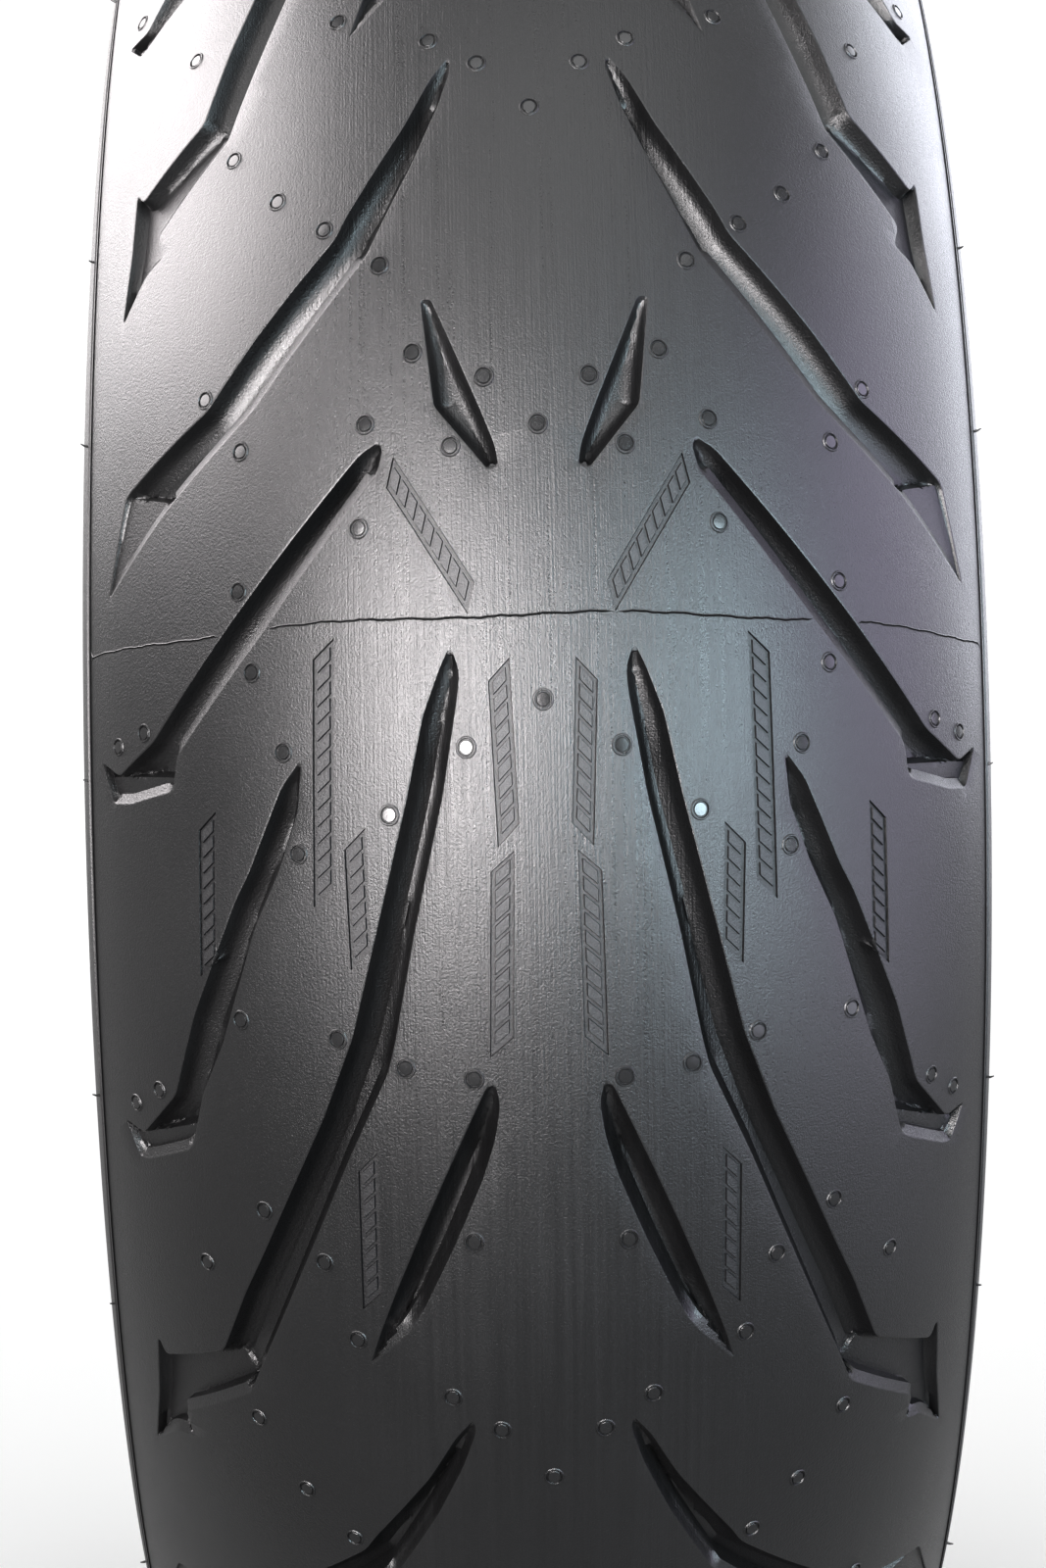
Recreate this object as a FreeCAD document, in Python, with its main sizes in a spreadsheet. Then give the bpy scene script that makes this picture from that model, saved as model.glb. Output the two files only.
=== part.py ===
import FreeCAD, Part
import math
import os

import Sketcher

# A rear motorcycle tyre with the proportions of a 190/50-17, cut open into the layers, beads and cords that it is
# built from. Millimetres. The origin is the wheel's centre and the tyre turns about Y. Every section is drawn in the
# YZ plane, across the tyre and outward from the axle, and turned about Y.

# Driving sizes: name, value. Angles are in degrees, measured round the crown's centre from straight outward (+Z)
# towards +Y. "across" is the distance from the centre plane and "height" the distance from the axle.
DRIVING_SIZES = (
    ("tyre_radius", 311.0),
    ("crown_radius", 107.0),
    ("tread_edge_angle", 58.3),
    ("cap_thickness", 7.6),
    ("cap_inner_angle", 59.9),
    ("base_thickness", 1.2),
    ("base_edge_angle", 55.5),
    ("belt_thickness", 1.6),
    ("belt_edge_angle", 54.0),
    ("cord_diameter", 0.9),
    ("cord_edge_angle", 52.5),
    ("ply_thickness", 1.0),
    ("crown_end_angle", 57.0),
    ("shoulder_radius", 13.0),
    ("shoulder_end_angle", 138.0),
    ("cushion_end_angle", 75.0),
    ("entry_radius", 5.0),
    ("core_across", 67.7),
    ("core_radius", 4.2),
    ("wire_diameter", 1.2),
    ("wire_pitch", 1.35),
    ("filler_base_height", 227.2),
    ("turn_up_lean", 24.0),
    ("chafer_top_height", 231.0),
    ("inner_ply_top_height", 233.5),
    ("outer_ply_top_height", 236.0),
    ("toe_across", 59.0),
    ("toe_height", 216.4),
    ("seat_radius", 215.9),
    ("seat_inner_across", 61.0),
    ("seat_outer_across", 71.2),
    ("heel_radius", 5.0),
    ("flange_top_height", 228.0),
    ("strip_top_across", 80.0),
    ("strip_top_height", 232.4),
    ("lower_wall_across", 88.0),
    ("lower_wall_height", 238.2),
    ("lower_wall_radius", 12.5),
    ("widest_across", 93.8),
    ("widest_height", 248.0),
    ("upper_wall_radius", 25.0),
    ("pitch_count", 7),
    ("groove_overcut", 2.0),
    ("groove_draft", 0.7),
)

CORDS_EACH_SIDE = 30  # turns of the belt cord on each side of the middle one
WIRE_ROWS = (3, 4, 5, 4, 3)  # wires in each layer of a bead, from the seat outward
WIRE_FACETS = 8  # flat sides that stand for a wire's round section

# The grooves of one pitch on one side. A groove is a row of ribs, each a cross-section from one edge to the other:
# across and turn of the first edge, across and turn of the second edge, depth. "across" is the length along the crown
# from the centre plane, and "turn" the angle round the tyre in degrees.
RIB_FIELDS = ("first_across", "first_turn", "second_across", "second_turn", "depth")
GROOVES = {
    "upper_diagonal": (
        (19.4, 26.4, 17.2, 25.6, 3.0),
        (24.9, 24.4, 20.8, 23.9, 6.0),
        (37.8, 20.7, 33.0, 19.1, 6.0),
        (57.0, 16.8, 57.3, 14.0, 5.0),
        (69.0, 14.4, 68.0, 12.5, 4.5),
        (93.7, 12.0, 86.0, 9.9, 4.0),
        (100.5, 8.3, 99.5, 7.6, 2.0),
    ),
    "centre_wedge": (
        (8.2, 11.5, 9.0, 10.7, 3.0),
        (10.6, 12.7, 14.0, 11.7, 4.0),
        (15.3, 14.9, 19.6, 13.0, 4.0),
        (20.5, 17.1, 21.5, 16.0, 2.0),
    ),
    "middle_diagonal": (
        (31.5, 11.8, 30.5, 11.0, 2.0),
        (34.8, 11.4, 34.0, 10.1, 4.5),
        (56.5, 7.2, 55.0, 5.5, 4.5),
        (79.5, 2.6, 78.0, 0.9, 4.0),
        (86.0, 1.4, 80.0, -0.4, 4.0),
        (97.0, 0.15, 93.5, -1.0, 3.5),
        (102.0, 0.6, 99.7, -0.9, 2.0),
    ),
    "shoulder_hook": (
        (49.0, 0.3, 48.2, -0.6, 2.0),
        (52.6, -0.7, 50.7, -2.4, 4.5),
        (61.5, -4.1, 57.5, -5.1, 4.5),
        (75.2, -9.4, 70.0, -11.2, 4.0),
        (81.5, -12.9, 76.0, -14.2, 4.0),
        (92.4, -15.1, 91.6, -16.25, 3.5),
        (98.0, -15.0, 95.0, -16.2, 2.0),
    ),
    "main_diagonal": (
        (18.6, 4.0, 16.0, 3.2, 3.0),
        (22.7, 2.0, 18.0, 0.6, 6.0),
        (29.4, -3.2, 24.2, -4.8, 6.0),
        (38.0, -9.4, 31.0, -10.6, 6.0),
        (53.0, -15.9, 49.0, -18.2, 5.5),
        (64.5, -20.5, 62.0, -23.9, 5.0),
        (71.4, -23.7, 66.5, -25.4, 4.5),
        (90.0, -25.7, 86.0, -28.5, 4.0),
        (93.0, -27.0, 92.0, -30.2, 3.0),
    ),
    "lower_slot": (
        (11.5, -11.0, 9.6, -11.8, 3.0),
        (15.0, -12.2, 11.8, -13.8, 6.0),
        (24.9, -16.4, 21.5, -18.2, 6.0),
        (30.5, -19.0, 27.7, -20.5, 5.0),
        (35.5, -21.7, 34.5, -22.0, 2.0),
    ),
}


class Size:
    """A number worked out from the sheet: its value, and the expression that gives it."""

    def __init__(self, value, text):
        self.value = value
        self.text = text

    def __add__(self, other):
        other = as_size(other)
        return Size(self.value + other.value, "(%s + %s)" % (self.text, other.text))

    def __sub__(self, other):
        other = as_size(other)
        return Size(self.value - other.value, "(%s - %s)" % (self.text, other.text))

    def __mul__(self, other):
        other = as_size(other)
        return Size(self.value * other.value, "(%s * %s)" % (self.text, other.text))

    def __truediv__(self, other):
        other = as_size(other)
        return Size(self.value / other.value, "(%s / %s)" % (self.text, other.text))

    def __neg__(self):
        return Size(-self.value, "(0 - %s)" % self.text)


def as_size(number):
    return number if isinstance(number, Size) else Size(float(number), "(%s)" % number)


def sine(angle):
    return Size(math.sin(math.radians(angle.value)), "sin(%s)" % angle.text)


def cosine(angle):
    return Size(math.cos(math.radians(angle.value)), "cos(%s)" % angle.text)


def tangent(angle):
    return Size(math.tan(math.radians(angle.value)), "tan(%s)" % angle.text)


def root(number):
    return Size(math.sqrt(number.value), "sqrt(%s)" % number.text)


class Turn:
    """A round link between two points: its centre and radius, and the direction of its middle in degrees."""

    def __init__(self, centre, radius, middle):
        self.centre = centre
        self.radius = radius
        self.middle = middle


def mirrored(item):
    """A point or a link on the other side of the centre plane."""
    if item is None:
        return None
    if isinstance(item, Turn):
        return Turn(mirrored(item.centre), item.radius, -item.middle)
    across, height = item
    return (-across, height)


def fill_sheet(doc):
    """The driving sizes, one alias each, and after them one row of cells for each rib of each groove."""
    sheet = doc.addObject("Spreadsheet::Sheet", "Sizes")
    for row, (name, value) in enumerate(DRIVING_SIZES, 1):
        sheet.set("A%d" % row, name)
        sheet.set("B%d" % row, str(value))
        sheet.setAlias("B%d" % row, name)
    row = len(DRIVING_SIZES) + 1
    for groove, ribs in GROOVES.items():
        for number, rib in enumerate(ribs, 1):
            sheet.set("A%d" % row, "%s rib %d" % (groove, number))
            for column, field, value in zip("BCDEF", RIB_FIELDS, rib):
                sheet.set("%s%d" % (column, row), str(value))
                sheet.setAlias("%s%d" % (column, row), "%s_%d_%s" % (groove, number, field))
            row += 1
    doc.recompute()
    return sheet


class Section:
    """The points and round links that the layers share, worked out from the sheet."""

    def __init__(self, sheet):
        def cell(name):
            return Size(float(sheet.get(name)), "Sizes." + name)

        self.cell = cell
        self.crown_centre = (as_size(0), cell("tyre_radius") - cell("crown_radius"))
        self.cap_inner = cell("crown_radius") - cell("cap_thickness")
        self.base_inner = self.cap_inner - cell("base_thickness")
        self.carcass = self.base_inner - cell("belt_thickness")
        self.shoulder_centre = self.on_crown(self.carcass - cell("shoulder_radius"), cell("crown_end_angle"))
        self.core_inner = cell("core_across") - cell("core_radius")
        self.core_outer = cell("core_across") + cell("core_radius")
        self.core_height = self.find_core_height()
        self.core_centre = (cell("core_across"), self.core_height)
        self.entry_centre = (self.core_inner + cell("entry_radius"), self.core_height)

    def on_crown(self, radius, angle):
        across, height = self.crown_centre
        return (radius * sine(angle), height + radius * cosine(angle))

    def on_shoulder(self, radius, angle):
        across, height = self.shoulder_centre
        return (across + radius * sine(angle), height + radius * cosine(angle))

    def find_core_height(self):
        """The height at which the round entry beside the core touches the straight lower carcass."""
        end = self.cell("shoulder_end_angle")
        across, height = self.on_shoulder(self.cell("shoulder_radius"), end)
        entry = self.cell("entry_radius")
        return height + (entry - (self.core_inner + entry - across) * sine(end)) / cosine(end)

    def crown_turn(self, radius):
        return Turn(self.crown_centre, radius, 0.0)

    def crown_edge_turn(self, radius, first_angle, last_angle):
        return Turn(self.crown_centre, radius, (first_angle.value + last_angle.value) / 2)

    def shoulder_turn(self, radius, first_angle, last_angle):
        return Turn(self.shoulder_centre, radius, (first_angle.value + last_angle.value) / 2)

    def wall_path(self, offset):
        """One side of the carcass, moved by offset towards the air, from the crown's end to beside the core."""
        first, last = self.cell("crown_end_angle"), self.cell("shoulder_end_angle")
        shoulder = self.cell("shoulder_radius") - offset
        entry = self.cell("entry_radius") + offset
        across, height = self.entry_centre
        entry_start = (across - entry * sine(last), height - entry * cosine(last))
        entry_middle = (last.value - 180.0 - 90.0) / 2
        return [
            self.on_crown(self.carcass - offset, first),
            self.shoulder_turn(shoulder, first, last),
            self.on_shoulder(shoulder, last),
            None,
            entry_start,
            Turn(self.entry_centre, entry, entry_middle),
            (across - entry, height),
        ]

    def wrap_path(self, offset):
        """Round the core, moved outward by offset, and up to where the turn-up starts to lean."""
        across, height = self.core_centre
        radius = self.cell("core_radius") + offset
        return [
            (across - radius, height),
            Turn(self.core_centre, radius, -135.0),
            (across, height - radius),
            Turn(self.core_centre, radius, 135.0),
            (across + radius, height),
            None,
            self.lean_start(offset),
        ]

    def lean_start(self, offset):
        lean = self.cell("turn_up_lean")
        return (self.core_outer + offset, self.cell("filler_base_height") - offset * tangent(lean / 2))

    def turn_up(self, offset, height):
        """The point at a height on the leaning turn-up, moved outward by offset."""
        across, start = self.lean_start(offset)
        return (across + (height - start) * tangent(self.cell("turn_up_lean")), height)

    def ply_path(self, offset, top):
        wall = self.wall_path(offset)
        return wall + self.wrap_path(offset)[1:] + [None, self.turn_up(offset, top)]

    def filler_tip(self):
        """Where the leaning turn-up meets the straight lower carcass."""
        end = self.cell("shoulder_end_angle")
        across, height = self.on_shoulder(self.cell("shoulder_radius"), end)
        start_across, start_height = self.lean_start(as_size(0))
        turn_up_slope = tangent(self.cell("turn_up_lean"))
        carcass_slope = -cosine(end) / sine(end)
        gap = across - start_across - carcass_slope * height + turn_up_slope * start_height
        tip_height = gap / (turn_up_slope - carcass_slope)
        return (start_across + (tip_height - start_height) * turn_up_slope, tip_height)

    def filler_foot(self):
        """The inner end of the line between the filler and the core's rubber, on the round entry."""
        across, height = self.entry_centre
        rise = self.cell("filler_base_height") - height
        entry = self.cell("entry_radius")
        return (across - root(entry * entry - rise * rise), self.cell("filler_base_height"))

    def entry_turn(self, first, last):
        """The part of the round entry between two points on it."""
        across, height = self.entry_centre
        angles = [math.degrees(math.atan2(p[0].value - across.value, p[1].value - height.value)) for p in (first, last)]
        return Turn(self.entry_centre, self.cell("entry_radius"), sum(angles) / 2)


def reversed_path(path):
    return list(reversed(path))


def other_side(path):
    return [mirrored(item) for item in path]


def band_loop(section, outer_path, outer_radius, inner_path, inner_radius):
    """A layer over the whole tyre: up the -Y side, over the crown, down the +Y side, and back along its other face."""
    loop = other_side(reversed_path(outer_path)) + [section.crown_turn(outer_radius)] + outer_path
    loop += [None] + reversed_path(inner_path) + [section.crown_turn(inner_radius)] + other_side(inner_path)
    return loop + [None]


def crown_loop(section, outer_radius, outer_angle, inner_radius, inner_angle):
    """A layer over the crown only."""
    outer_end = section.on_crown(outer_radius, outer_angle)
    inner_end = section.on_crown(inner_radius, inner_angle)
    return band_loop(section, [outer_end], outer_radius, [inner_end], inner_radius)


def end_near(sketch, edge, point):
    """Which end of a sketch edge, 1 or 2, lies at the point."""
    target = FreeCAD.Vector(point[0].value, point[1].value, 0)
    return min((1, 2), key=lambda end: (sketch.getPoint(edge, end) - target).Length)


def plain_point(point):
    return FreeCAD.Vector(point[0].value, point[1].value, 0)


def bind(sketch, kind, *places_and_size):
    """Add a dimension and give it its expression."""
    *places, size = places_and_size
    index = sketch.addConstraint(Sketcher.Constraint(kind, *places, size.value))
    sketch.setExpression("Constraints[%d]" % index, size.text)


def draw_link(sketch, start, link, end):
    if link is None:
        return sketch.addGeometry(Part.LineSegment(plain_point(start), plain_point(end)), False)
    middle_angle = math.radians(link.middle)
    reach = FreeCAD.Vector(math.sin(middle_angle), math.cos(middle_angle), 0) * link.radius.value
    middle = plain_point(link.centre) + reach
    return sketch.addGeometry(Part.Arc(plain_point(start), middle, plain_point(end)), False)


def draw_loop(sketch, loop):
    """A closed outline, its points fixed by their two distances from the origin and its arcs by their radius."""
    points, links = loop[0::2], loop[1::2]
    ends = points[1:] + points[:1]
    edges = [draw_link(sketch, *trio) for trio in zip(points, links, ends)]
    for number, edge in enumerate(edges):
        point = points[number]
        place = end_near(sketch, edge, point)
        before = edges[number - 1]
        sketch.addConstraint(Sketcher.Constraint("Coincident", before, end_near(sketch, before, point), edge, place))
        bind(sketch, "DistanceX", -1, 1, edge, place, point[0])
        bind(sketch, "DistanceY", -1, 1, edge, place, point[1])
        if links[number] is not None:
            bind(sketch, "Radius", edge, links[number].radius)


def ring_body(doc, label, loop):
    """A body turned once about Y from a closed section."""
    body = doc.addObject("PartDesign::Body", label)
    body.Label = label
    sketch = body.newObject("Sketcher::SketchObject", label + "_section")
    plane = next(f for f in body.Origin.OriginFeatures if f.Role == "YZ_Plane")
    sketch.AttachmentSupport = (plane, [""])
    sketch.MapMode = "FlatFace"
    draw_loop(sketch, loop)
    ring = body.newObject("PartDesign::Revolution", label + "_ring")
    ring.Profile = sketch
    ring.ReferenceAxis = (sketch, ["H_Axis"])
    ring.Angle = 360.0
    body.Tip = ring
    return body


def wire_rings(doc, label, centres, radius):
    """Rings about Y through the given section points, as one group of separate solids of one section."""
    sections = []
    for number, (across, height) in enumerate(centres, 1):
        outline = doc.addObject("Part::RegularPolygon", "%s_%d" % (label, number))
        outline.Polygon = WIRE_FACETS
        outline.Placement.Rotation = FreeCAD.Rotation(FreeCAD.Vector(0, 1, 0), 90)
        outline.setExpression("Circumradius", radius.text)
        outline.setExpression("Placement.Base.y", across.text)
        outline.setExpression("Placement.Base.z", height.text)
        sections.append(outline)
    group = doc.addObject("Part::Compound", label + "_sections")
    group.Links = sections
    rings = doc.addObject("Part::Revolution", label)
    rings.Label = label
    rings.Source = group
    rings.Axis = (0, 1, 0)
    rings.Base = (0, 0, 0)
    rings.Angle = 360.0
    rings.Solid = True
    return rings


def without(doc, label, plain, rings):
    """A ring of rubber with closed channels where the wires lie in it."""
    cut = doc.addObject("Part::Cut", label)
    cut.Label = label
    cut.Base = plain
    cut.Tool = rings
    return cut


def belt_cord_centres(section):
    middle = section.carcass + section.cell("belt_thickness") / 2
    step = section.cell("cord_edge_angle") / CORDS_EACH_SIDE
    return [section.on_crown(middle, step * n) for n in range(-CORDS_EACH_SIDE, CORDS_EACH_SIDE + 1)]


def bead_wire_centres(section):
    """The hexagon of wires in one bead, in layers that lie in each other's hollows."""
    across, height = section.core_centre
    pitch = section.cell("wire_pitch")
    layer = pitch * sine(Size(60.0, "60"))
    middle_layer = (len(WIRE_ROWS) - 1) / 2
    centres = []
    for row, count in enumerate(WIRE_ROWS):
        for place in range(count):
            shift = place - (count - 1) / 2
            centres.append((across + pitch * shift, height + layer * (row - middle_layer)))
    return centres


def tread_surface(section, across, turn, rise, side):
    """A point on the tread, or above it by rise, on the side of the centre plane that side gives."""
    crown = section.cell("crown_radius").value
    lean = across / crown
    reach = section.crown_centre[1].value + (crown + rise) * math.cos(lean)
    angle = math.radians(turn)
    return FreeCAD.Vector(reach * math.cos(angle), side * (crown + rise) * math.sin(lean), reach * math.sin(angle))


def rib_corners(section, rib, side):
    """One cross-section of a groove: as wide as its mouth above the tread, and narrower at its floor."""
    first_across, first_turn, second_across, second_turn, depth = rib
    overcut = section.cell("groove_overcut").value
    draft = section.cell("groove_draft").value
    first_top = tread_surface(section, first_across, first_turn, overcut, side)
    second_top = tread_surface(section, second_across, second_turn, overcut, side)
    first_floor = tread_surface(section, first_across, first_turn, -depth, side)
    second_floor = tread_surface(section, second_across, second_turn, -depth, side)
    width = (second_floor - first_floor).Length
    inset = (second_floor - first_floor) * min(draft / width, 0.3)
    return [first_top, second_top, second_floor - inset, first_floor + inset]


def split_quad(a, b, c, d):
    """Two flat triangles that fill four corners, which need not lie in one plane."""
    return [Part.Face(Part.makePolygon([a, b, c, a])), Part.Face(Part.makePolygon([a, c, d, a]))]


def faceted_bar(sections):
    """A closed solid through four-cornered sections."""
    faces = split_quad(*sections[0]) + split_quad(*sections[-1])
    for near, far in zip(sections, sections[1:]):
        for corner in range(4):
            other = (corner + 1) % 4
            faces += split_quad(near[corner], near[other], far[other], far[corner])
    shell = Part.Shell(faces)
    shell.sewShape()
    solid = Part.Solid(shell)
    if solid.Volume < 0:
        solid.reverse()
    return solid


def groove_cutters(doc, sheet, section):
    """Every groove of the tread, as one group: both sides of one pitch, turned round the tyre."""
    pitches = int(section.cell("pitch_count").value)
    solids = []
    for groove, ribs in GROOVES.items():
        cells = [["%s_%d_%s" % (groove, number, field) for field in RIB_FIELDS] for number in range(1, len(ribs) + 1)]
        sizes = [[float(sheet.get(name)) for name in row] for row in cells]
        for side in (-1, 1):
            solids.append(faceted_bar([rib_corners(section, rib, side) for rib in sizes]))
    copies = []
    for pitch in range(pitches):
        for solid in solids:
            copy = solid.copy()
            copy.rotate(FreeCAD.Vector(0, 0, 0), FreeCAD.Vector(0, 1, 0), 360.0 * pitch / pitches)
            copies.append(copy)
    cutters = doc.addObject("Part::Feature", "groove_cutters")
    cutters.Shape = Part.makeCompound(copies)
    return cutters


def tread_cap(doc, sheet, section):
    cell = section.cell
    loop = crown_loop(
        section, cell("crown_radius"), cell("tread_edge_angle"), section.cap_inner, cell("cap_inner_angle")
    )
    plain = ring_body(doc, "tread_cap_plain", loop)
    cut = doc.addObject("Part::Cut", "tread_cap")
    cut.Label = "tread_cap"
    cut.Base = plain
    cut.Tool = groove_cutters(doc, sheet, section)
    return cut


def tread_base(doc, section):
    edge = section.cell("base_edge_angle")
    return ring_body(doc, "tread_base", crown_loop(section, section.cap_inner, edge, section.base_inner, edge))


def belt(doc, section):
    """The cord of the belt, and the rubber skim that it lies in."""
    edge = section.cell("belt_edge_angle")
    centres = belt_cord_centres(section)
    radius = section.cell("cord_diameter") / 2
    cords = wire_rings(doc, "belt_cords", centres, radius)
    plain = ring_body(doc, "belt_skim_plain", crown_loop(section, section.base_inner, edge, section.carcass, edge))
    return [without(doc, "belt_skim", plain, cords), cords]


def casing_layers(doc, section):
    """The two body plies, wrapped round both beads, and the airtight liner inside them."""
    cell = section.cell
    ply = cell("ply_thickness")
    zero = as_size(0)
    layers = []
    for label, start, top in (("outer_ply", zero, "outer_ply_top_height"), ("inner_ply", ply, "inner_ply_top_height")):
        faces = [section.ply_path(offset, cell(top)) for offset in (start, start + ply)]
        loop = band_loop(section, faces[0], section.carcass - start, faces[1], section.carcass - start - ply)
        layers.append(ring_body(doc, label, loop))
    outer, inner = ply * 2, ply * 3
    loop = band_loop(
        section, section.wall_path(outer), section.carcass - outer, section.wall_path(inner), section.carcass - inner
    )
    layers.append(ring_body(doc, "inner_liner", loop))
    return layers


def chafer_loop(section):
    ply, top = section.cell("ply_thickness"), section.cell("chafer_top_height")
    inner = section.wrap_path(ply * 2) + [None, section.turn_up(ply * 2, top)]
    outer = section.wrap_path(ply * 3) + [None, section.turn_up(ply * 3, top)]
    return inner + [None] + reversed_path(outer) + [None]


def rim_strip_loop(section):
    """The rubber that sits on the rim: toe, seat, round heel, flange face and the slope above it."""
    cell = section.cell
    ply = cell("ply_thickness")
    flange = cell("seat_outer_across") + cell("heel_radius")
    heel_centre = (cell("seat_outer_across"), cell("seat_radius") + cell("heel_radius"))
    skin = [
        (cell("toe_across"), cell("toe_height")),
        None,
        (cell("seat_inner_across"), cell("seat_radius")),
        None,
        (cell("seat_outer_across"), cell("seat_radius")),
        Turn(heel_centre, cell("heel_radius"), 135.0),
        (flange, heel_centre[1]),
        None,
        (flange, cell("flange_top_height")),
        None,
        (cell("strip_top_across"), cell("strip_top_height")),
    ]
    back = section.wrap_path(ply * 3) + [None, section.turn_up(ply * 3, cell("chafer_top_height"))]
    return skin + [None] + reversed_path(back) + [None]


def bead_filler_loop(section):
    foot = section.filler_foot()
    straight_end = section.wall_path(as_size(0))[4]
    return [
        foot,
        section.entry_turn(foot, straight_end),
        straight_end,
        None,
        section.filler_tip(),
        None,
        section.lean_start(as_size(0)),
        None,
    ]


def core_rubber_loop(section):
    foot = section.filler_foot()
    wrap = section.wrap_path(as_size(0))
    return [foot, section.entry_turn(foot, wrap[0])] + wrap + [None]


def cushion_loop(section):
    """The wedge that fills the step at the belt's edge, between the tread and the carcass."""
    cell = section.cell
    belt_edge, base_edge, cap_edge = cell("belt_edge_angle"), cell("base_edge_angle"), cell("cap_inner_angle")
    carcass_end, cushion_end = cell("crown_end_angle"), cell("cushion_end_angle")
    shoulder = cell("shoulder_radius")
    return [
        section.on_crown(section.carcass, belt_edge),
        None,
        section.on_crown(section.base_inner, belt_edge),
        section.crown_edge_turn(section.base_inner, belt_edge, base_edge),
        section.on_crown(section.base_inner, base_edge),
        None,
        section.on_crown(section.cap_inner, base_edge),
        section.crown_edge_turn(section.cap_inner, base_edge, cap_edge),
        section.on_crown(section.cap_inner, cap_edge),
        None,
        section.on_shoulder(shoulder, cushion_end),
        section.shoulder_turn(shoulder, carcass_end, cushion_end),
        section.on_crown(section.carcass, carcass_end),
        section.crown_edge_turn(section.carcass, belt_edge, carcass_end),
    ]


def arc_between(first, last, radius, side):
    """A round link of a given radius between two points, bulging to the side that side gives (+1 is +Y)."""
    start, end = plain_point(first), plain_point(last)
    chord = end - start
    out = FreeCAD.Vector(abs(chord.y), -chord.x * math.copysign(1.0, chord.y), 0).normalize() * side
    drop = math.sqrt(radius.value**2 - (chord.Length / 2) ** 2)
    centre = (start + end) * 0.5 - out * drop
    return Turn((as_size(centre.x), as_size(centre.y)), radius, math.degrees(math.atan2(out.x, out.y)))


def sidewall_loop(section):
    """From the tread's edge over the widest point to the rim strip, and back up the steps of the turn-ups."""
    cell = section.cell
    ply, zero = cell("ply_thickness"), as_size(0)
    tread_edge = section.on_crown(cell("crown_radius"), cell("tread_edge_angle"))
    widest = (cell("widest_across"), cell("widest_height"))
    lower = (cell("lower_wall_across"), cell("lower_wall_height"))
    shoulder, end = cell("shoulder_radius"), cell("shoulder_end_angle")
    cushion_end = cell("cushion_end_angle")
    chafer_top, inner_top = cell("chafer_top_height"), cell("inner_ply_top_height")
    outer_top = cell("outer_ply_top_height")
    skin = [
        tread_edge,
        arc_between(tread_edge, widest, cell("upper_wall_radius"), 1),
        widest,
        arc_between(widest, lower, cell("lower_wall_radius"), 1),
        lower,
        None,
        (cell("strip_top_across"), cell("strip_top_height")),
    ]
    steps = [
        section.turn_up(ply * 3, chafer_top),
        None,
        section.turn_up(ply * 2, chafer_top),
        None,
        section.turn_up(ply * 2, inner_top),
        None,
        section.turn_up(ply, inner_top),
        None,
        section.turn_up(ply, outer_top),
        None,
        section.turn_up(zero, outer_top),
        None,
        section.filler_tip(),
    ]
    back = [
        section.on_shoulder(shoulder, end),
        section.shoulder_turn(shoulder, cushion_end, end),
        section.on_shoulder(shoulder, cushion_end),
        None,
        section.on_crown(section.cap_inner, cell("cap_inner_angle")),
    ]
    return skin + [None] + steps + [None] + back + [None]


def side_parts(doc, section, side, flip):
    """The parts that a tyre has once on each side."""
    loops = {
        "sidewall": sidewall_loop(section),
        "belt_edge_cushion": cushion_loop(section),
        "rim_strip": rim_strip_loop(section),
        "chafer": chafer_loop(section),
        "bead_filler": bead_filler_loop(section),
    }
    parts = [ring_body(doc, "%s_%s" % (name, side), flip(loop)) for name, loop in loops.items()]
    radius = section.cell("wire_diameter") / 2
    wires = wire_rings(doc, "bead_wires_" + side, flip(bead_wire_centres(section)), radius)
    plain = ring_body(doc, "bead_core_plain_" + side, flip(core_rubber_loop(section)))
    parts += [without(doc, "bead_core_rubber_" + side, plain, wires), wires]
    return parts


def check_model(doc, parts):
    """Stop if any object failed, or any part is not a sound shape of solids."""
    for item in doc.Objects:
        if "Invalid" in item.State or "Error" in item.State:
            raise RuntimeError("%s did not rebuild: %s" % (item.Label, item.State))
    for part in parts:
        if part.Shape.isNull() or not part.Shape.isValid() or not part.Shape.Solids:
            raise RuntimeError("%s has no sound solid" % part.Label)


def main():
    doc = FreeCAD.newDocument("motorcycle_tyre")
    sheet = fill_sheet(doc)
    section = Section(sheet)
    parts = [tread_cap(doc, sheet, section), tread_base(doc, section)]
    parts += belt(doc, section)
    parts += casing_layers(doc, section)
    parts += side_parts(doc, section, "left", other_side)
    parts += side_parts(doc, section, "right", list)
    doc.recompute()
    check_model(doc, parts)
    os.makedirs("parts", exist_ok=True)
    for part in parts:
        part.Shape.exportStep("parts/%s.step" % part.Label)
        print("%-24s %2d solids  %10.1f mm3" % (part.Label, len(part.Shape.Solids), part.Shape.Volume))


main()
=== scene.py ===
import math

import bpy
import numpy as np
from mathutils import Matrix, Vector, geometry


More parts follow.
